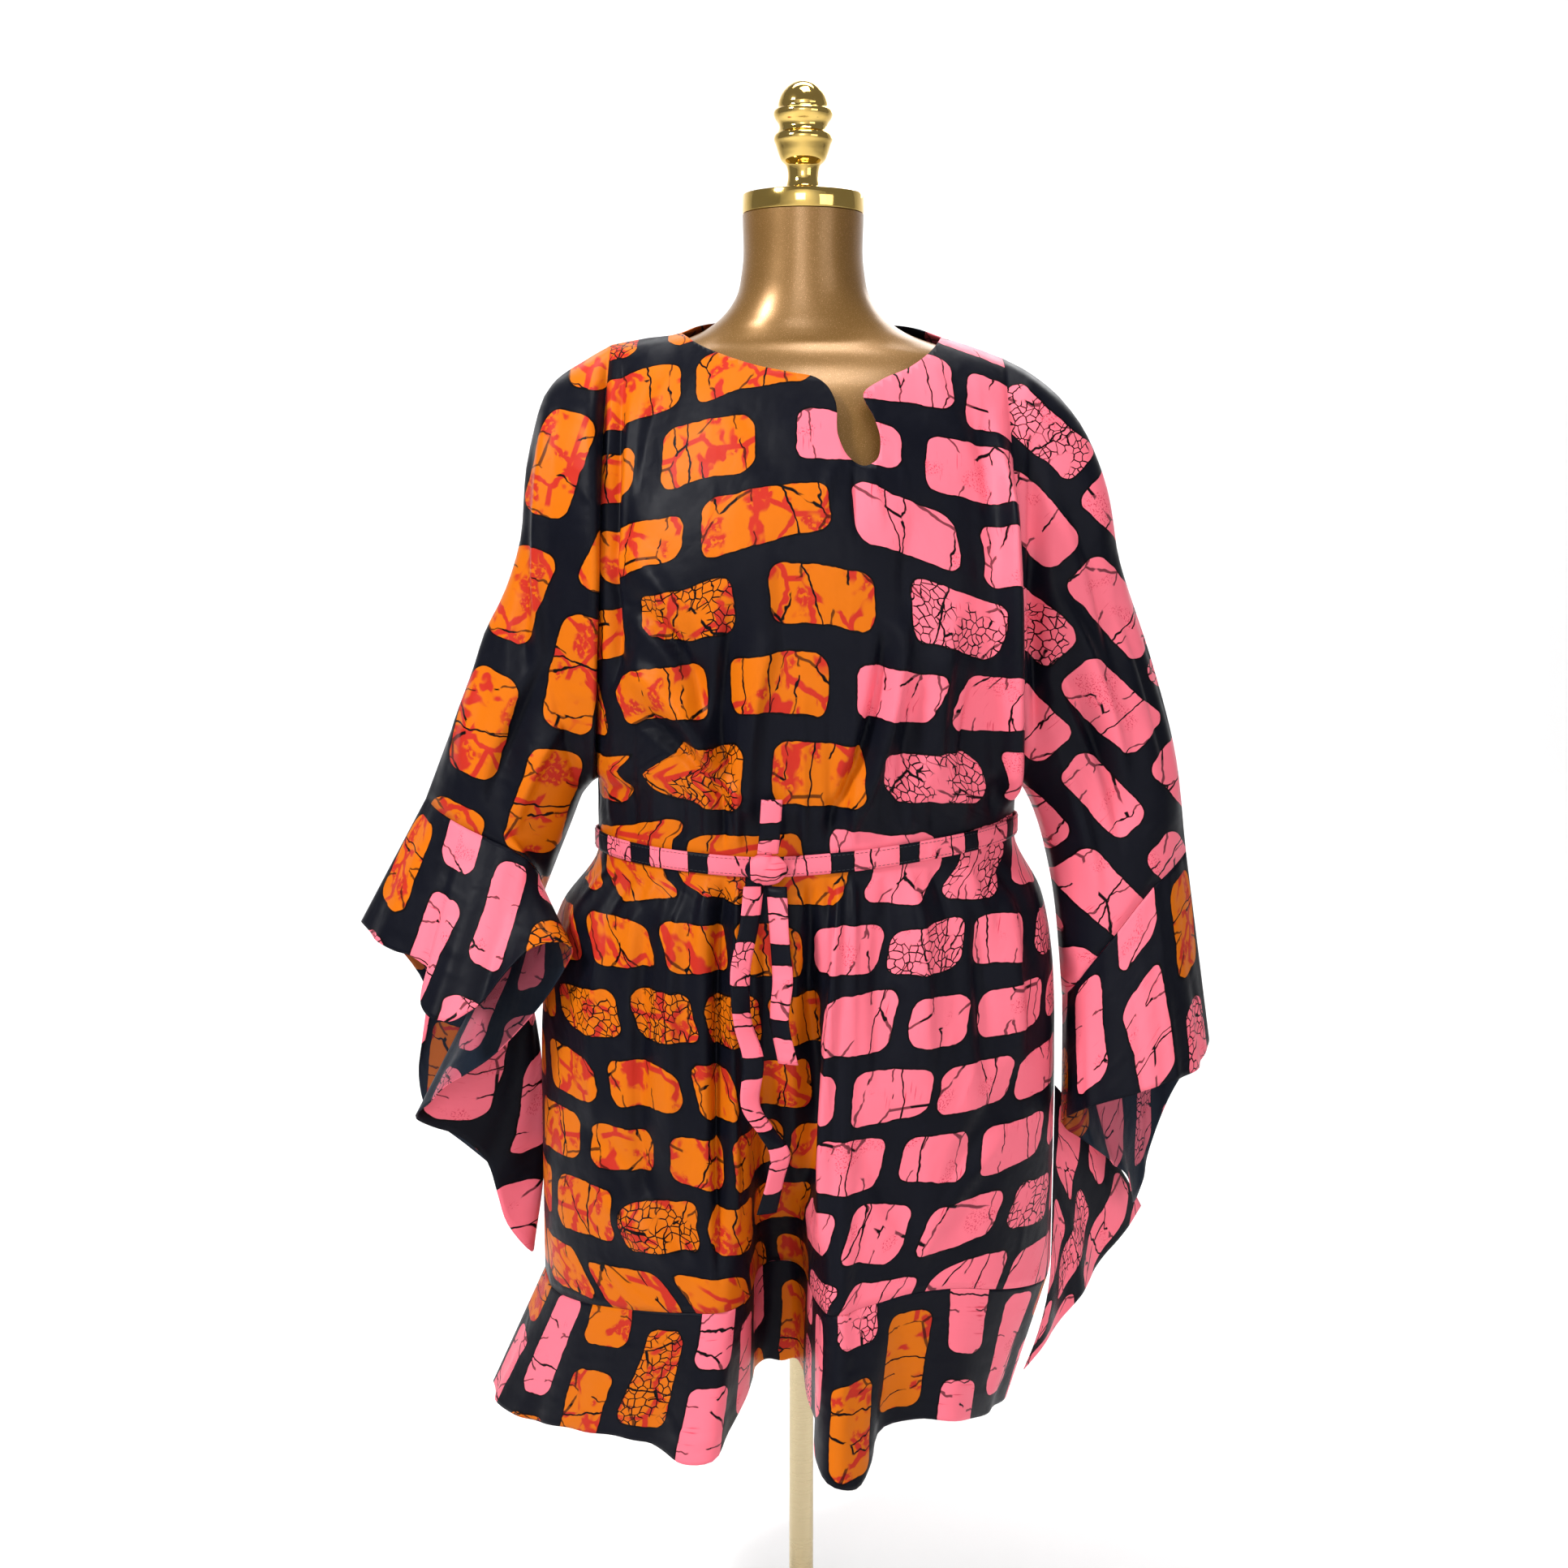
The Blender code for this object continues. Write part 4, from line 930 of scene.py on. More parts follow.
def makePrint(name, pitch, block, seed, pinkFrom=None, pinkShare=0.0, upright=False, shift=(0.0, 0.0),
              shadedReverse=False):
    # Rounded blocks in staggered rows on navy satin. Pink starts at a place across, or takes a share
    # of the blocks. The copy for a sheet's inner face is darkened towards a dark tint: painted shade of the
    # garment's inside.
    g = Graph(name)
    u, v = g.put("ShaderNodeSeparateXYZ", g.put("ShaderNodeUVMap", uv_map="cloth"))[:2]
    if upright:
        u, v = v, u
    flat = g.vector(u, v, seed)
    sway = g.noise(flat, 9.0, 1.0) - 0.5
    sideSway = g.noise(g.vector(v, u, seed + 3.7), 7.0, 1.0) - 0.5
    wobble = g.noise(flat, 55.0, 2.0) - 0.5

    # Rows, and the blocks along them
    row = (v + sway * 0.020) / pitch[1] + (farOff + shift[1])
    rowIndex = g.math("FLOOR", row)
    rowChance = g.put("ShaderNodeTexWhiteNoise", {"W": rowIndex + seed * 17.0}, noise_dimensions="1D")[0]
    start = g.math("MODULO", rowIndex, 2.0) * 0.5 + rowChance * 0.28 + (farOff + shift[0])
    column = (u + sideSway * 0.014) / pitch[0] + start
    columnIndex = g.math("FLOOR", column)
    cell = {"Vector": g.vector(columnIndex, rowIndex, seed)}
    chances = g.put("ShaderNodeTexWhiteNoise", cell, noise_dimensions="3D")[1]
    first, second, third = g.put("ShaderNodeSeparateColor", (chances,))

    # Distance from a block's rounded edge, below 0 inside it
    du = (g.math("FRACT", column) - 0.5) * pitch[0]
    dv = (g.math("FRACT", row) - 0.5) * pitch[1] + (first - 0.5) * (du * 0.16)
    halfU = (first * 0.26 + 0.86) * (block[0] / 2)
    halfV = (second * 0.22 + 0.87) * (block[1] / 2) + (third - 0.5) * (du * 0.10)
    rounding = min(block) * 0.27
    qx = abs(du) - halfU + rounding
    qy = abs(dv) - halfV + rounding
    outside = g.math("POWER", g.most(qx, 0.0), 2.0) + g.math("POWER", g.most(qy, 0.0), 2.0)
    inside = g.math("MINIMUM", g.most(qx, qy), 0.0)
    edge = g.math("SQRT", outside) + inside - rounding + wobble * 0.0050
    blockMask = g.ramp(edge, -0.0002, 0.0003, 1.0, 0.0)
    lineMask = g.ramp(abs(edge - 0.0008) - 0.0008, -0.0001, 0.0003, 1.0, 0.0)

    # Cracks: long ones, a fine net over one block in five, and one that crosses a block
    offset = g.vector(wobble * 0.016, sideSway * 0.030)
    bent = g.put("ShaderNodeVectorMath", (flat, offset), operation="ADD")[0]
    long = g.put("ShaderNodeVectorMath", (bent, (1.0, 0.55, 1.0)), operation="MULTIPLY")[0]
    gate = g.most(g.ramp(g.noise(flat, 38.0, 1.0), 0.53, 0.56), g.ramp(edge, -0.013, -0.011) * 0.8)
    cracks = g.ramp(g.edgeOf(long, 23.0), 0.012, 0.026, 1.0, 0.0) * gate
    net = g.ramp(g.edgeOf(bent, 130.0), 0.05, 0.10, 1.0, 0.0) * g.math("GREATER_THAN", third, 0.80)
    cracks = g.math("MINIMUM", cracks + net * g.ramp(g.noise(flat, 30.0, 1.0), 0.40, 0.46), 1.0)
    crossing = du + (third - 0.5) * (dv * 0.5) - (first - 0.45) * halfU + sideSway * 0.030 + wobble * 0.010
    crossMask = g.ramp(abs(crossing), 0.0006, 0.0011, 1.0, 0.0) * g.math("GREATER_THAN", second, 0.25)

    # Red strokes and smudges on orange, crimson specks and streaks on pink
    strokes = g.ramp(g.edgeOf(g.vector(u + wobble * 0.020, v, seed + 2.6), 25.0), 0.045, 0.085, 1.0, 0.0)
    strokes = strokes * g.ramp(g.noise(g.vector(v, u, seed + 8.1), 24.0, 1.0), 0.46, 0.52)
    smudge = g.ramp(g.noise(g.vector(u, v, seed + 5.3), 30.0, 2.0), 0.56, 0.62)
    smudge = smudge * g.ramp(g.noise(flat, 210.0, 2.0), 0.36, 0.52)
    blotch = g.ramp(g.noise(long, 34.0, 2.0, 0.62), 0.58, 0.63)
    orangeBlock = g.mix(g.most(g.most(smudge, blotch), strokes) * 0.90, orange, red)
    specks = g.ramp(g.noise(flat, 620.0, 1.0), 0.55, 0.62) * g.ramp(g.noise(flat, 26.0, 1.0), 0.60, 0.66)
    streaks = g.ramp(g.noise(g.vector(u * 420.0, v * 26.0, seed), 1.0, 2.0), 0.64, 0.70)
    streaks = streaks * g.ramp(g.noise(flat, 21.0, 1.0), 0.52, 0.60)
    pinkBlock = g.mix(g.most(specks, streaks) * 0.75, pink, crimson)
    if pinkFrom is None:
        isPink = g.math("LESS_THAN", second, pinkShare)
    else:
        isPink = g.math("GREATER_THAN", (columnIndex + 0.5 - start) * pitch[0], pinkFrom)
    blockColour = g.mix(g.most(cracks, crossMask), g.mix(isPink, orangeBlock, pinkBlock), black)
    ground = g.mix(g.noise(flat, 14.0, 1.0), navy, tuple(c * 1.5 for c in navy))
    colour = g.mix(blockMask, g.mix(lineMask, ground, black), blockColour)
    # Painted shade: the inner face's print is darkened towards a dark tint, for the shade inside the garment.
    if shadedReverse:
        colour = g.mix(insideShadeFade, colour, insideShadeTint)

    # Weave, crumples and creases of the satin
    weave = g.math("SINE", u * (2 * math.pi / weavePitch)) * g.math("SINE", v * (2 * math.pi / weavePitch))
    crumple = g.noise(flat, 42.0, 2.0, 0.55)
    soft = g.noise(g.vector(u, v * 0.4, seed + 9.0), 22.0, 2.0)
    crease = abs(g.noise(g.vector(u, v * 0.7, seed + 4.4), 13.0, 1.0) - 0.5)
    crease = g.ramp(crease, 0.0, 0.09, 1.0, 0.0) * g.ramp(soft, 0.45, 0.65)
    g.bump(weave * 0.008 + (crumple * 0.35 + soft * 0.8) + crease * 0.35, 0.0042, 0.60)
    g.paint(Base_Color=colour, Roughness=g.ramp(crumple, 0.3, 0.7, 0.36, 0.46), Specular_IOR_Level=0.08,
            Sheen_Weight=0.006, Sheen_Roughness=0.35, Sheen_Tint=(0.45, 0.58, 0.85))
    return g.material


def makeThread():
    g = Graph("thread")
    variation = g.noise(g.objectPlace(), 30.0, 3.0)
    g.paint(Base_Color=g.mix(variation, threadColour, tuple(c * 0.82 for c in threadColour)),
            Roughness=g.ramp(variation, 0.3, 0.7, 0.51, 0.69))
    return g.material


def makePaper():
    g = Graph("paper")
    grain = g.noise(g.objectPlace(), 400.0, 2.0)
    g.paint(Base_Color=g.mix(grain, (0.955, 0.955, 0.955), (0.940, 0.940, 0.940)), Roughness=0.95,
            Specular_IOR_Level=0.1)
    return g.material


def makeFormSkin():
    # Bronze-brown satin paint with fine metallic flakes.
    g = Graph("formSkin")
    flakes = g.noise(g.objectPlace(), 1900.0, 1.0)
    cloud = g.noise(g.objectPlace(), 6.0, 2.0)
    base = g.mix(cloud, (0.200, 0.100, 0.021), (0.245, 0.122, 0.030))
    g.paint(Base_Color=g.mix(g.ramp(flakes, 0.60, 0.74), base, (0.52, 0.29, 0.13)), Metallic=0.45,
            Roughness=g.ramp(flakes, 0.4, 0.7, 0.36, 0.30), Coat_Weight=0.25, Coat_Roughness=0.22)
    g.bump(flakes, 0.0001, 0.25)
    return g.material


def makeGold():
    g = Graph("goldPolish")
    smear = g.noise(g.objectPlace(), 60.0, 4.0)
    g.paint(Base_Color=g.mix(smear, (0.90, 0.64, 0.20), (0.80, 0.52, 0.13)), Metallic=1.0,
            Roughness=g.ramp(smear, 0.35, 0.7, 0.07, 0.13))
    return g.material


def makeSteel():
    # Brushed metal of the pole and base.
    g = Graph("standMetal")
    x, y, z = g.put("ShaderNodeSeparateXYZ", (g.objectPlace(),))
    turnedAt = g.math("SQRT", g.math("POWER", x, 2.0) + g.math("POWER", y, 2.0))
    lines = g.noise(g.vector(turnedAt * 900.0, z * 900.0), 1.0, 2.0)
    g.paint(Base_Color=g.mix(lines, (0.52, 0.42, 0.25), (0.62, 0.52, 0.33)), Metallic=1.0,
            Roughness=g.ramp(lines, 0.3, 0.7, 0.26, 0.36))
    g.bump(lines, 0.00005, 0.3)
    return g.material


# Camera, light and floor


imageWidth = 1932
focalLength = 2400  # in pixels, as horizonDrop
horizonDrop = 356
sensorWidth = 36.0
worldLight = 0.20
floorHalf = 7.0
sweepRadius = 1.4
sweepFront = -6.0
sweepBack = 1.6
wallTop = 5.0


def makeStudio():
    scene = bpy.context.scene
    world = bpy.data.worlds.new("studio")
    scene.world = world
    world.use_nodes = True
    world.node_tree.nodes["Background"].inputs[0].default_value = (1.0, 1.0, 1.0, 1.0)
    world.node_tree.nodes["Background"].inputs[1].default_value = worldLight
    scene.view_settings.view_transform = "Standard"
    scene.view_settings.look = "None"
    camera = newThing("camera", bpy.data.cameras.new("camera"))
    camera.location = (-0.018, -1.9, 1.24)
    camera.rotation_euler = (math.pi / 2 - math.atan(horizonDrop / focalLength), 0.0, 0.0)
    camera.data.sensor_width = sensorWidth
    camera.data.lens = sensorWidth * focalLength / imageWidth
    scene.camera = camera
    middle = (0.0, 0.0, 0.95)
    lights = [
        ("key", (-2.0, -1.7, 2.9), 0.55, 88.0, middle),
        ("fill", (2.1, -2.2, 1.5), 1.4, 14.0, middle),
        ("front", (-0.3, -3.2, 1.9), 1.0, 15.0, middle),
        ("top", (0.2, -0.4, 3.2), 0.8, 22.0, middle),
        ("back", (0.6, 1.6, 2.4), 1.2, 14.0, middle),
        ("backdrop", (0.0, 0.9, 3.6), 1.6, 64.0, (0.0, 3.0, 1.4)),
        ("frontSweep", (0.0, -4.6, 3.8), 1.6, 120.0, (0.0, -7.4, 1.2)),
    ]
    for name, place, size, power, aim in lights:
        light = bpy.data.lights.new(name, "AREA")
        light.size = size
        light.energy = power
        thing = newThing(name, light)
        thing.location = place
        thing.rotation_euler = (Vector(aim) - Vector(place)).to_track_quat("-Z", "Y").to_euler()
    angles = np.linspace(0.05, math.pi / 2, 16)
    bend = [(sweepRadius * math.sin(a), sweepRadius - sweepRadius * math.cos(a)) for a in angles]
    profile = [(sweepFront - sweepRadius, wallTop)] + [(sweepFront - out, z) for out, z in reversed(bend)]
    profile += [(sweepFront, 0.0), (sweepBack, 0.0)] + [(sweepBack + out, z) for out, z in bend]
    profile.append((sweepBack + sweepRadius, wallTop))
    verts = [(x, y, z) for x in (-floorHalf, floorHalf) for y, z in profile]
    count = len(profile)
    mesh = newMesh("floor", verts, [(i, i + count, i + count + 1, i + 1) for i in range(count - 1)])
    mesh.shade_smooth()
    floor = newThing("floor", mesh)
    mesh.materials.append(makePaper())


def seamToSkin(points, sign):
    # The fine shells meet closer than the solids do at the side seams.
    points = points.copy()
    reach = np.maximum(points[..., 1] * sign, seamHalf) - (seamHalf - seamClose)
    points[..., 1] = sign * reach
    return points


def clothPlaces(grid, middle):
    # Lengths of cloth from the middle column outwards, and down, in rows that run nearly level.
    across = runLengths(grid, 1)
    across = across - across[:, middle : middle + 1]
    down = runLengths(grid, 0)
    level = grid[..., 2].max() - grid[..., 2]
    above = np.clip((grid[..., 2] - 0.90) / 0.25, 0, 1)
    return np.stack([across, level + (down - level) * 0.55 * above], axis=2)


def sleevePlaces(grid, hand):
    # Cloth places on a wing sleeve: along it from the shoulder, and across it from its outer fold.
    line = runLengths(grid, 1)[0]
    flat = grid[..., [0, 2]]
    third = flat.shape[1] // 3
    axis = unit(flat[0, -1] - flat[0, third])
    if hand > 0:
        axis = unit(leftSleeveLine)
    normal = np.array([axis[1], -axis[0]]) * hand
    offset = flat - flat[0, third]
    along = offset @ axis + line[third]
    return np.stack([hand * (0.2 + along), np.abs(offset @ normal)], axis=2)


def outwardNormals(grid, sign):
    out = gridNormals(grid)
    return -out if np.mean(out[..., 1]) * sign < 0 else out


def buildPanels(materials):
    pieces = {}
    for side, creases, outline in (("front", frontCreases, frontNeck), ("back", backCreases, backNeck)):
        sign = sideSigns[side]
        body = bodyPanel(side)
        wings = {hand: wingPanel(side, hand, body[: armRows + 1, 0 if hand < 0 else -1]) for hand in (-1, 1)}
        fineBody = seamToSkin(refine(body, fineRows, fineColumns), sign)
        across = columnsOf(foldTables[side])
        spots = np.linspace(0, len(across) - 1, fineBody.shape[1])
        acrossFine = np.interp(spots, np.arange(len(across)), across)
        armFine = armRows * fineRows + 1
        rowEase = np.zeros(fineBody.shape[0])
        rowEase[:armFine] = np.sin(math.pi * np.linspace(0, 1, armFine)) ** 0.5
        edgeEase = np.clip((1 - np.abs(acrossFine)) / 0.10, 0, 1)[None, :]
        edgeEase = edgeEase + (1 - edgeEase) * rowEase[:, None]
        height = creaseHeights(fineBody, creases) * edgeEase
        beltHeights = np.interp(acrossFine, [r[0] for r in beltLine], [r[1] for r in beltLine])[None, :]
        away = fineBody[..., 2] - beltHeights
        ramp = 1 - np.exp(-((np.maximum(np.abs(away) - gatherStart, 0.0) / gatherRise) ** 2))
        fade = np.exp(-np.maximum(np.abs(away) - 0.02, 0) / np.where(away > 0, gatherUp, gatherDown))
        gathers = np.zeros(acrossFine.shape)
        for place, width, tall in beltGathers[side]:
            gathers += tall * np.exp(-(((acrossFine - place) / width) ** 2))
        height += gathers[None, :] * ramp * fade * gatherGain
        topEase = np.clip((fineBody[:, :, 2].max(axis=0)[None, :] - fineBody[..., 2]) / 0.03, 0, 1)
        lowEase = np.clip(np.linspace(fineBody.shape[0], 0, fineBody.shape[0]) / 8, 0, 1)[:, None]
        fineBody = fineBody + outwardNormals(fineBody, sign) * (height * topEase * lowEase)[..., None]
        uvBody = clothPlaces(fineBody, int(np.argmin(np.abs(acrossFine))))
        beltRow = (armRows + 1) * fineRows + 3
        slots = [0 if r < beltRow else 1 for r in range(fineBody.shape[0])]
        parts = [(fineBody, uvBody, False, slots)]
        for hand in (-1, 1):
            fine = seamToSkin(refine(wings[hand], fineRows, fineColumns), sign)
            columns = np.linspace(0, 1, fine.shape[1])
            ease = np.clip((1 - columns) / 0.08, 0, 1)[None, :] * rowEase[:armFine, None]
            fine = fine + outwardNormals(fine, sign) * (creaseHeights(fine, creases) * ease)[..., None]
            fine[:, 0] = fineBody[:armFine, 0 if hand < 0 else -1]
            uv = sleevePlaces(fine, hand)
            if hand < 0:
                fine = fine[:, ::-1]
                uv = uv[:, ::-1]
            parts.append((fine, uv, False, [2 if hand < 0 else 3] * fine.shape[0]))
        if side == "back":
            parts = [(grid[:, ::-1], uv[:, ::-1], closed, rows) for grid, uv, closed, rows in parts]
        thing = meshFrom(f"{side}Cloth", parts)
        cutter = neckCutter(outline, sign * cutterReach)
        finishCloth(thing, materials[side], cutter)
        pieces[side] = (thing, body, wings)
    return pieces


def flounceSkin(name, before, top, hem, closed, waves, materials, sign=0, flip=False, belly=0.0):
    # A flounce's fine shell, with small waves that grow towards its hem.
    grid = flounceGrid(before, top, hem, flounceRows, belly)
    if closed:
        grid = grid[:, :-1]
    fine = refine(grid, *flounceFine, closed)
    if sign:
        fine = seamToSkin(fine, sign)
    out = gridNormals(fine, closed)
    places = np.linspace(0, 1, fine.shape[1])
    grow = np.linspace(0, 1, fine.shape[0])[:, None] ** 1.3
    ease = 1.0 if closed else np.clip(np.minimum(places, 1 - places) / 0.04, 0, 1)[None, :]
    lift = waveHeights(places, waves)[None, :] * grow * ease
    if closed:
        lift[:, -1] = lift[:, 0]
    fine = fine + out * lift[..., None]
    uv = placesFrom(runLengths(fine, 1)[fine.shape[0] // 2], runLengths(fine, 0))
    if flip:
        fine = fine[:, ::-1]
        uv = uv[:, ::-1]
    thing = meshFrom(name, [(fine, uv, closed, [0] * fine.shape[0])])
    finishCloth(thing, materials)
    return thing


stitchBar = {"Vertices": 6, "Radius": 0.00022, "Depth": 0.0026}
stitchGap = 0.0016
stitchLift = 0.0009


def rowOfStitches(name, points, material):
    # Sewing stitches spaced along a line by Geometry Nodes, then made a plain mesh.
    curve = bpy.data.curves.new(name, "CURVE")
    curve.dimensions = "3D"
    spline = curve.splines.new("POLY")
    spline.points.add(len(points) - 1)
    for number, point in enumerate(points):
        spline.points[number].co = (*point, 1.0)
    thing = newThing(name, curve)
    tree = bpy.data.node_groups.new(name, "GeometryNodeTree")
    tree.interface.new_socket("Geometry", in_out="INPUT", socket_type="NodeSocketGeometry")
    spacing = tree.interface.new_socket("Spacing", in_out="INPUT", socket_type="NodeSocketFloat")
    tree.interface.new_socket("Geometry", in_out="OUTPUT", socket_type="NodeSocketGeometry")
    kinds = {
        "into": "NodeGroupInput", "spaced": "GeometryNodeResampleCurve",
        "placed": "GeometryNodeInstanceOnPoints", "bar": "GeometryNodeMeshCylinder",
        "tangent": "GeometryNodeInputTangent",
        "turn": "FunctionNodeAlignRotationToVector", "real": "GeometryNodeRealizeInstances",
        "painted": "GeometryNodeSetMaterial", "out": "NodeGroupOutput",
    }
    nodes = {key: tree.nodes.new(kind) for key, kind in kinds.items()}
    nodes["spaced"].mode = "LENGTH"
    nodes["turn"].axis = "Z"
    for key, value in stitchBar.items():
        nodes["bar"].inputs[key].default_value = value
    nodes["painted"].inputs["Material"].default_value = material
    for source, output, target, socket in (
        ("into", "Geometry", "spaced", "Curve"), ("into", "Spacing", "spaced", "Length"),
        ("spaced", "Curve", "placed", "Points"), ("bar", "Mesh", "placed", "Instance"),
        ("tangent", 0, "turn", "Vector"), ("turn", 0, "placed", "Rotation"),
        ("placed", "Instances", "real", "Geometry"), ("real", "Geometry", "painted", "Geometry"),
        ("painted", "Geometry", "out", "Geometry"),
    ):
        tree.links.new(nodes[source].outputs[output], nodes[target].inputs[socket])
    modifier = thing.modifiers.new("stitches", "NODES")
    modifier.node_group = tree
    modifier[spacing.identifier] = stitchBar["Depth"] + stitchGap
    mesh = evaluated(thing)
    bpy.data.objects.remove(thing, do_unlink=True)
    mesh.name = name
    return newThing(name, mesh)


def turned(name, profile, height, material, steps):
    # A turned piece from radius and height.
    points = [(radius, 0.0, z + height) for radius, z in profile]
    mesh = newMesh(name, points, [], [(n, n + 1) for n in range(len(points) - 1)])
    thing = newThing(name, mesh)
    mesh.materials.append(material)
    screw = thing.modifiers.new("turn", "SCREW")
    screw.steps = steps
    screw.render_steps = steps
    screw.use_merge_vertices = True
    screw.merge_threshold = meetReach
    screw.use_smooth_shade = True
    bake(thing)
    weld(thing.data, True)
    thing.data.set_sharp_from_angle(angle=math.radians(40))
    return thing


def smoothProfile(profile, count):
    # A profile curved through its points, from the axis outwards.
    knots = np.cumsum([0] + [math.dist(a, b) for a, b in zip(profile, profile[1:])])
    fine = smoothThrough(knots, profile, np.linspace(0, knots[-1], count))
    fine[:, 0] = np.maximum(fine[:, 0], 0.0)
    fine[0, 0] = 0.0
    return [tuple(p) for p in fine]


def buildFormSkin(material):
    around = 96
    fine = np.linspace(0, len(formSections) - 1, 121)
    knots = np.interp(fine, np.arange(len(formSections)), [row[0] for row in formSections])
    table = throughTable(formSections, slice(1, 5), knots)
    verts = []
    for z, (halfWidth, front, back, square) in zip(knots, table):
        for step in range(around):
            angle = 2 * math.pi * step / around
            cosine = math.cos(angle)
            sine = math.sin(angle)
            x = halfWidth * math.copysign(abs(cosine) ** (2 / square), cosine)
            depth = back if sine > 0 else front
            verts.append((x, depth * math.copysign(abs(sine) ** (2 / square), sine), z))
    rows = len(knots)
    faces = ringFaces(rows, around)
    faces.append(tuple(reversed(range(around))))
    faces.append(tuple(range((rows - 1) * around, rows * around)))
    mesh = newMesh("formSkin", verts, faces)
    mesh.shade_smooth()
    mesh.set_sharp_from_angle(angle=math.radians(50))
    mesh.materials.append(material)
    return newThing("formSkin", mesh)


def place(thing, nodes, slotName):
    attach(thing, "root")
    if nodes:
        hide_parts(*nodes)


def beltRings(panels, offset):
    rings = []
    for row in (armRows + 1, armRows + 2):
        front = panels["front"][1][row]
        back = panels["back"][1][row][::-1]
        ring = np.concatenate([front, back[1:-1]])
        for corner, side in ((0, -1), (len(front) - 1, 1)):
            ring[corner, 0] += side * seamHalf
            ring[corner, 1] = 0.0
        rings.append(ring)
    middle = (rings[0] + rings[1]) / 2
    after = np.roll(middle, -1, axis=0) - np.roll(middle, 1, axis=0)
    outward = unit(np.stack([after[:, 1], -after[:, 0]], axis=1))
    step = unit((np.roll(middle, -1, axis=0) - middle)[:, :2])
    across = np.abs(step[:, 1] * outward[:, 0] - step[:, 0] * outward[:, 1])
    outward = outward / np.clip(across, 0.5, 1.0)[:, None]
    rows = []
    for height in np.linspace(beltHalf, -beltHalf, 5):
        part = (beltHalf - height) / (2 * beltHalf)
        row = rings[0] * (1 - part) + rings[1] * part
        row[:, :2] += outward * (offset + 0.0006 * (1 - (height / beltHalf) ** 2))
        row[:, 2] = middle[:, 2] + height
        rows.append(row)
    return np.array(rows)


def strip(name, table, width, materials, start):
    # A loose end of the belt, turned and slightly cupped as it hangs.
    count = (len(table) - 1) * tailFine + 1
    line = smoothThrough(np.arange(len(table)), table, np.linspace(0, len(table) - 1, count))
    columns = np.linspace(-1, 1, 9)
    grid = []
    for x, y, z, turn in line:
        angle = math.radians(turn)
        half = width / 2
        grid.append([
            (x + math.cos(angle) * half * c + math.sin(angle) * tailCup * (1 - c * c),
             y + math.sin(angle) * half * c - math.cos(angle) * tailCup * (1 - c * c), z)
            for c in columns
        ])
    grid = np.array(grid)
    if grid[0, 0, 2] < grid[-1, 0, 2]:
        grid = grid[:, ::-1]
    uv = placesFrom(columns * width / 2, start + runLengths(grid, 0))
    thing = meshFrom(name, [(grid, uv, False, [0] * grid.shape[0])])
    finishCloth(thing, materials, thickness=tailShell)
    return thing


def buildKnot(material):
    # The tied knot, rounded, with shallow folds across it.
    rows = 28
    columns = 48
    verts = []
    for r in range(rows + 1):
        lat = math.pi * r / rows
        for c in range(columns):
            lon = 2 * math.pi * c / columns
            x = math.sin(lat) * math.cos(lon)
            y = math.sin(lat) * math.sin(lon)
            z = math.cos(lat)
            ripple = 1 - knotRipple * abs(math.sin(3.0 * lon + 2.2 * z)) * math.sin(lat)
            ripple -= knotGroove * math.exp(-((x - 0.35 * z) / 0.10) ** 2)
            spot = zip("xyz", (x, y, z))
            verts.append(tuple(knot[key] + knot["r" + key] * at * ripple for key, at in spot))
    faces = [(a, d, c, b) for a, b, c, d in ringFaces(rows + 1, columns)]
    mesh = newMesh("beltKnot", verts, faces)
    layer = mesh.uv_layers.new(name="cloth")
    for loop in mesh.loops:
        point = verts[loop.vertex_index]
        layer.data[loop.index].uv = (point[0], point[2])
    weld(mesh, True)
    mesh.materials.append(material)
    return newThing("beltKnot", mesh)


makeStudio()
formSkin = buildFormSkin(makeFormSkin())
place(formSkin, ["dress_form"], "form_skin")
gold = makeGold()
steel = makeSteel()
cap = [
    (0.0, capHeight), (capRadius - 0.0018, capHeight), (capRadius - 0.0005, capHeight - 0.0005),
    (capRadius, capHeight - 0.0018), (capRadius, 0.0018), (capRadius - 0.0005, 0.0005),
    (capRadius - 0.0018, 0.0), (0.0, 0.0),
]
finial = smoothProfile(finialProfile[:-1], 110) + [finialProfile[-1]]
collarTop = 0.052
poleTop = formBottom - seamGap
pole = [
    (0.0, poleTop), (poleRadius - 0.0006, poleTop), (poleRadius, poleTop - 0.0006),
    (poleRadius, collarTop + seamGap), (0.0, collarTop + seamGap),
]
foot = [
    (0.0, collarTop), (0.020, collarTop), (0.0215, collarTop - 0.0005), (0.022, collarTop - 0.002),
    (0.022, baseHeight + 0.007), (0.024, baseHeight + 0.003), (0.030, baseHeight + 0.001),
    (baseRadius - 0.010, baseHeight), (baseRadius - 0.005, baseHeight - 0.001),
    (baseRadius - 0.001, baseHeight - 0.005), (baseRadius, baseHeight - 0.008), (baseRadius, 0.0), (0.0, 0.0),
]
for name, profile, height, material, steps, node, slotName in (
    ("capGold", cap, capBottom, gold, 96, "neck_cap", "gold_metal"),
    ("finialGold", finial, capBottom + capHeight, gold, 72, "finial", "gold_metal"),
    ("poleMetal", pole, 0.0, steel, 64, "stand_pole", "stand_metal"),
    ("baseMetal", foot, 0.0, steel, 96, "stand_base", "stand_metal"),
):
    place(turned(name, profile, height, material, steps), [node], slotName)
print("stage: form and stand")

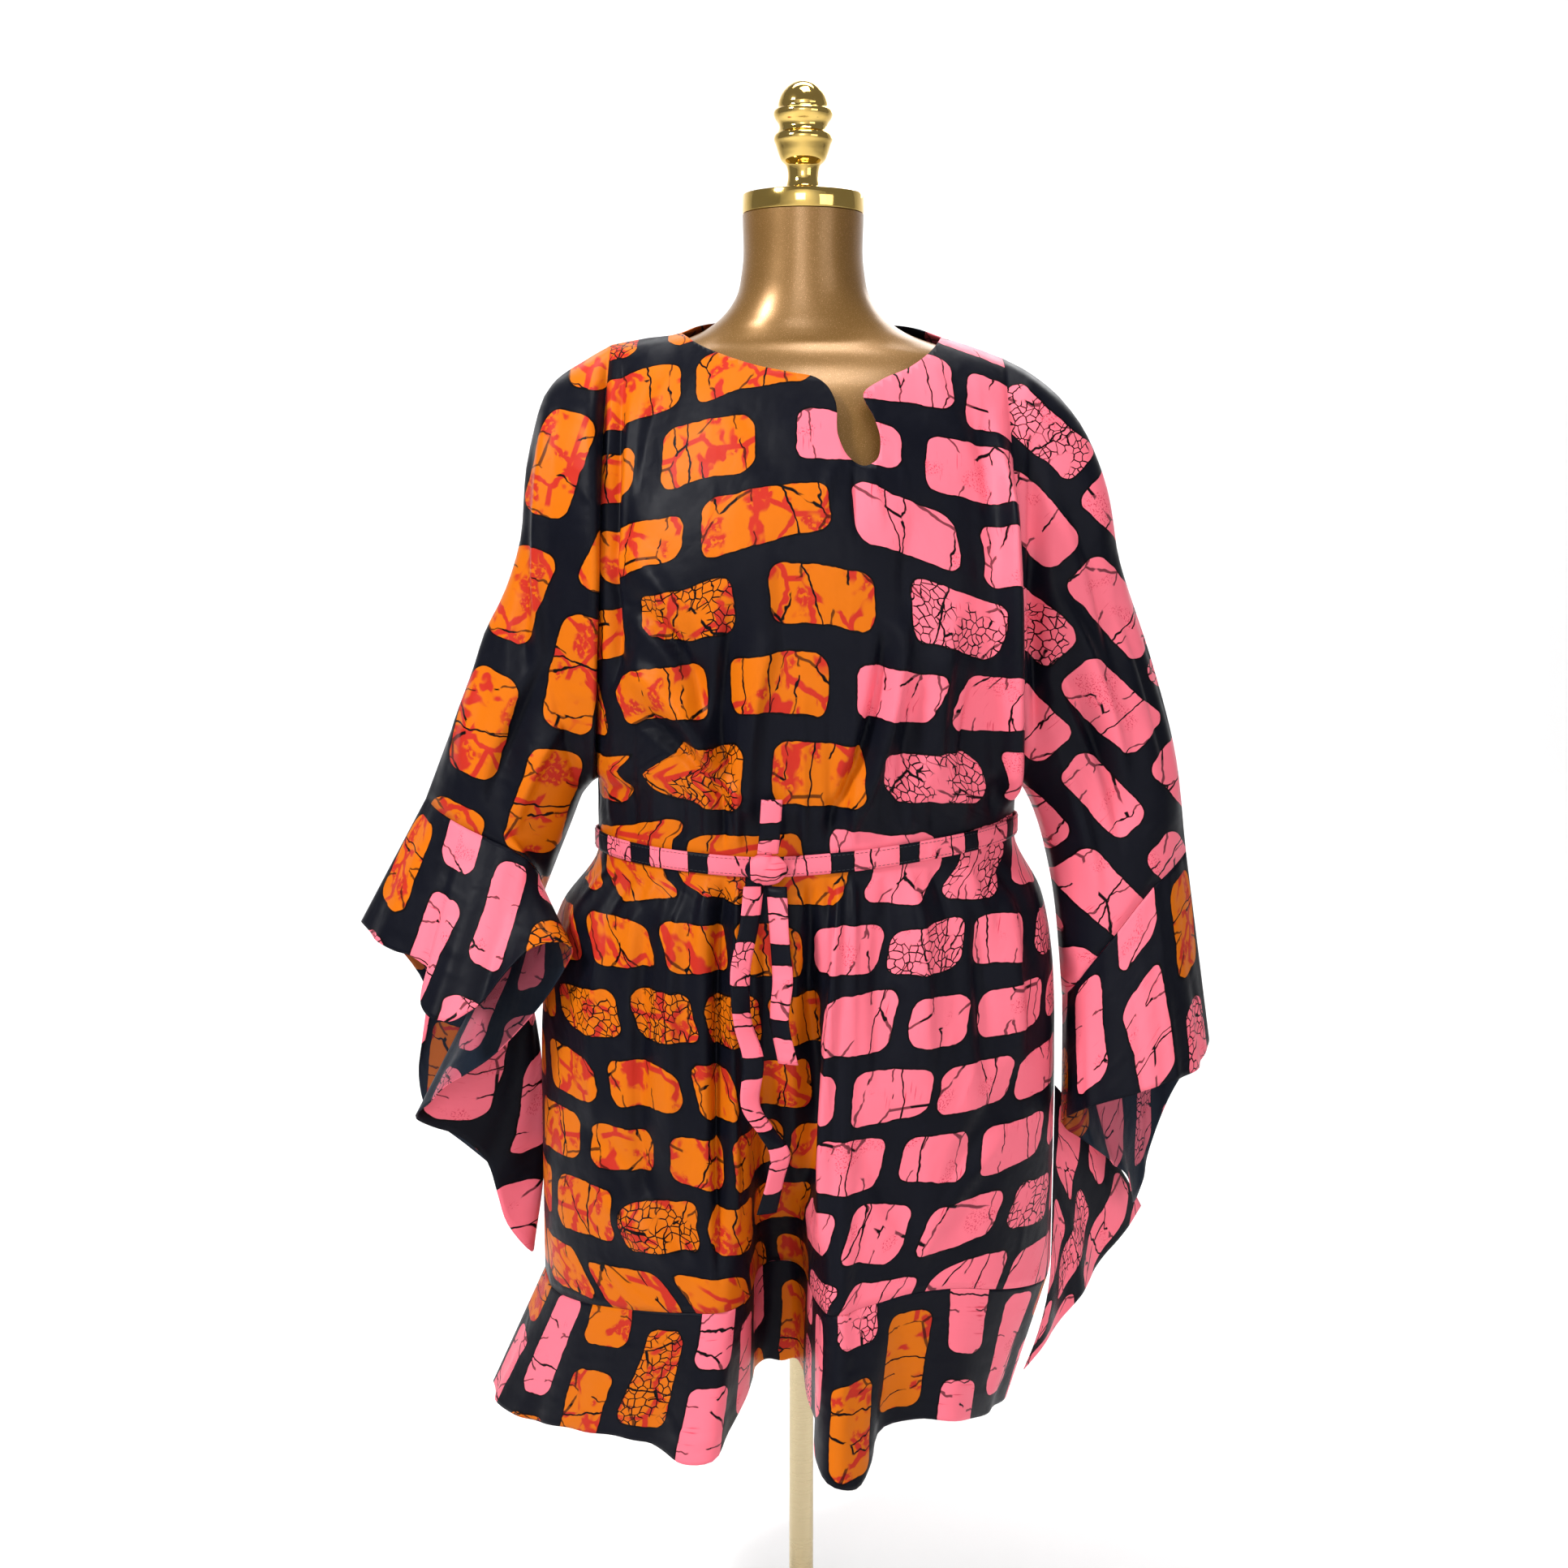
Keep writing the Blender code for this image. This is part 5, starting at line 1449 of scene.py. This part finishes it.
prints = {
    "bodice": {"pitch": (0.131, 0.072), "block": (0.106, 0.050), "seed": 3, "pinkFrom": 0.035,
               "shift": (0.15, 0.2)},
    "skirt": {"pitch": (0.092, 0.066), "block": (0.076, 0.047), "seed": 7, "pinkFrom": 0.010,
              "shift": (0.4, 0.3)},
    "armRight": {"pitch": (0.128, 0.076), "block": (0.106, 0.053), "seed": 11},
    "armLeft": {"pitch": (0.118, 0.068), "block": (0.098, 0.046), "seed": 13, "pinkShare": 1.1},
    "flounce": {"pitch": (0.130, 0.068), "block": (0.104, 0.046), "seed": 17, "pinkShare": 0.74,
                "upright": True},
    "hem": {"pitch": (0.120, 0.066), "block": (0.098, 0.045), "seed": 19, "pinkShare": 0.62, "upright": True,
            "shift": (0.35, 0.1)},
    "side": {"pitch": (0.110, 0.060), "block": (0.086, 0.042), "seed": 23, "pinkShare": 1.1},
    "tie": {"pitch": (0.066, 0.030), "block": (0.046, 0.029), "seed": 29, "pinkShare": 1.1, "upright": True,
            "shift": (0.2, 0.5)},
}
# Each print, and a darkened copy of it for the inner faces as painted shade
made = {
    key: (makePrint(key + "Print", **settings), makePrint(key + "PrintReverse", shadedReverse=True, **settings))
    for key, settings in prints.items()
}


def clothMaterials(*keys):
    return [made[key][0] for key in keys] + [made[key][1] for key in keys]


thread = makeThread()
panelKeys = ("bodice", "skirt", "armRight", "armLeft")
panels = buildPanels({"front": clothMaterials(*panelKeys), "back": clothMaterials(*panelKeys)})
print("stage: panels")
for side in ("front", "back"):
    thing, body, wings = panels[side]
    place(thing, [f"{side}_panel"], "print_orange" if side == "front" else "print_pink")
    table = foldTables[side]
    sign = sideSigns[side]
    hem = keepOffMiddle(throughTable(table, slice(4, 7), columnsOf(table)), sign)
    hemCloth = flounceSkin(f"{side}HemFlounce", body[-2], body[-1], hem, False, flounceWaves[side],
                           clothMaterials("hem"), sign, side == "back")
    place(hemCloth, [f"hem_flounce_{side}"], "print_pink")
    side + "Hem"
for hand, side in ((-1, "right"), (1, "left")):
    count = 4 * armRows
    top = cuffPoints(hand, count)
    top[1 : count // 2] = keepOffMiddle(top[1 : count // 2], -1)
    top[count // 2 + 1 : -1] = keepOffMiddle(top[count // 2 + 1 : -1], 1)
    hem = roundCuff(hand, slice(4, 8), count)
    wings = {key: panels[key][2][hand] for key in ("front", "back")}
    ring = np.concatenate([wings["front"][:, -2], wings["back"][-2::-1, -2]])
    before = onLine(np.linspace(0, len(ring) - 1, count + 1), np.arange(len(ring)), ring)
    if hand < 0:
        spots = np.linspace(0, 1, count + 1)
        hem[:, 3] += flapBelly["depth"] * np.exp(-(((spots - flapBelly["place"]) / flapBelly["width"]) ** 2))
    cloth = flounceSkin(f"{side}SleeveFlounce", before, top, hem[:, :3], True, flounceWaves[side],
                        clothMaterials("flounce"), flip=hand > 0, belly=hem[:, 3])
    place(cloth, [f"sleeve_flounce_{side}"], "print_pink")
    side + "Sleeve"
seam = panels["back"][1][armRows + 2 :, -1]
spots = np.linspace(0, len(sideFlounce) - 1, 2 * len(sideFlounce) + 1)
index = np.arange(len(sideFlounce))
heights = np.interp(spots, index, [row[0] for row in sideFlounce])
top = onLine(heights, seam[::-1, 2], seam[::-1])
top[:, 0] += sideOut
top[:, 1] += sideBehind
hem = smoothThrough(index, [r[1:4] for r in sideFlounce], spots)
rows = [hangingRow(top, hem, step / flounceRows, sideBelly) for step in range(flounceRows + 1)]
grid = refine(np.array(rows), *flounceFine)
uv = placesFrom(runLengths(grid, 1)[grid.shape[0] // 2], runLengths(grid, 0))
grid = grid[:, ::-1]
uv = uv[:, ::-1]
sideCloth = meshFrom("sideCloth", [(grid, uv, False, [0] * grid.shape[0])])
finishCloth(sideCloth, clothMaterials("side"))
place(sideCloth, ["side_flounce"], "print_pink")
print("stage: flounces")

ring = beltRings(panels, wall / 2 + seamGap + beltWall / 2)
ring = refine(ring, 2, 4, True)
uv = placesFrom(runLengths(ring, 0).mean(axis=1)[:, None] - beltHalf, runLengths(ring, 1)[0])
belt = meshFrom("beltCloth", [(ring, uv, True, [0] * ring.shape[0])])
finishCloth(belt, clothMaterials("tie"), thickness=beltShell)
place(belt, ["tie_belt"], "print_pink")
for key, row in (("Top", 1), ("Low", -2)):
    line = ring[row] * 1.0
    middle = line.mean(axis=0)
    line[:, :2] += unit((line - middle)[:, :2]) * stitchLift
    place(rowOfStitches("beltStitches" + key, line, thread), [], "print_pink")
for name, table in tieTails.items():
    cloth = strip(name + "Cloth", table, tieWidth, clothMaterials("tie"), tiePrintStart[name])
    place(cloth, [name], "print_pink")
place(buildKnot(made["tie"][0]), ["tie_knot"], "print_pink")
print("stage: belt")
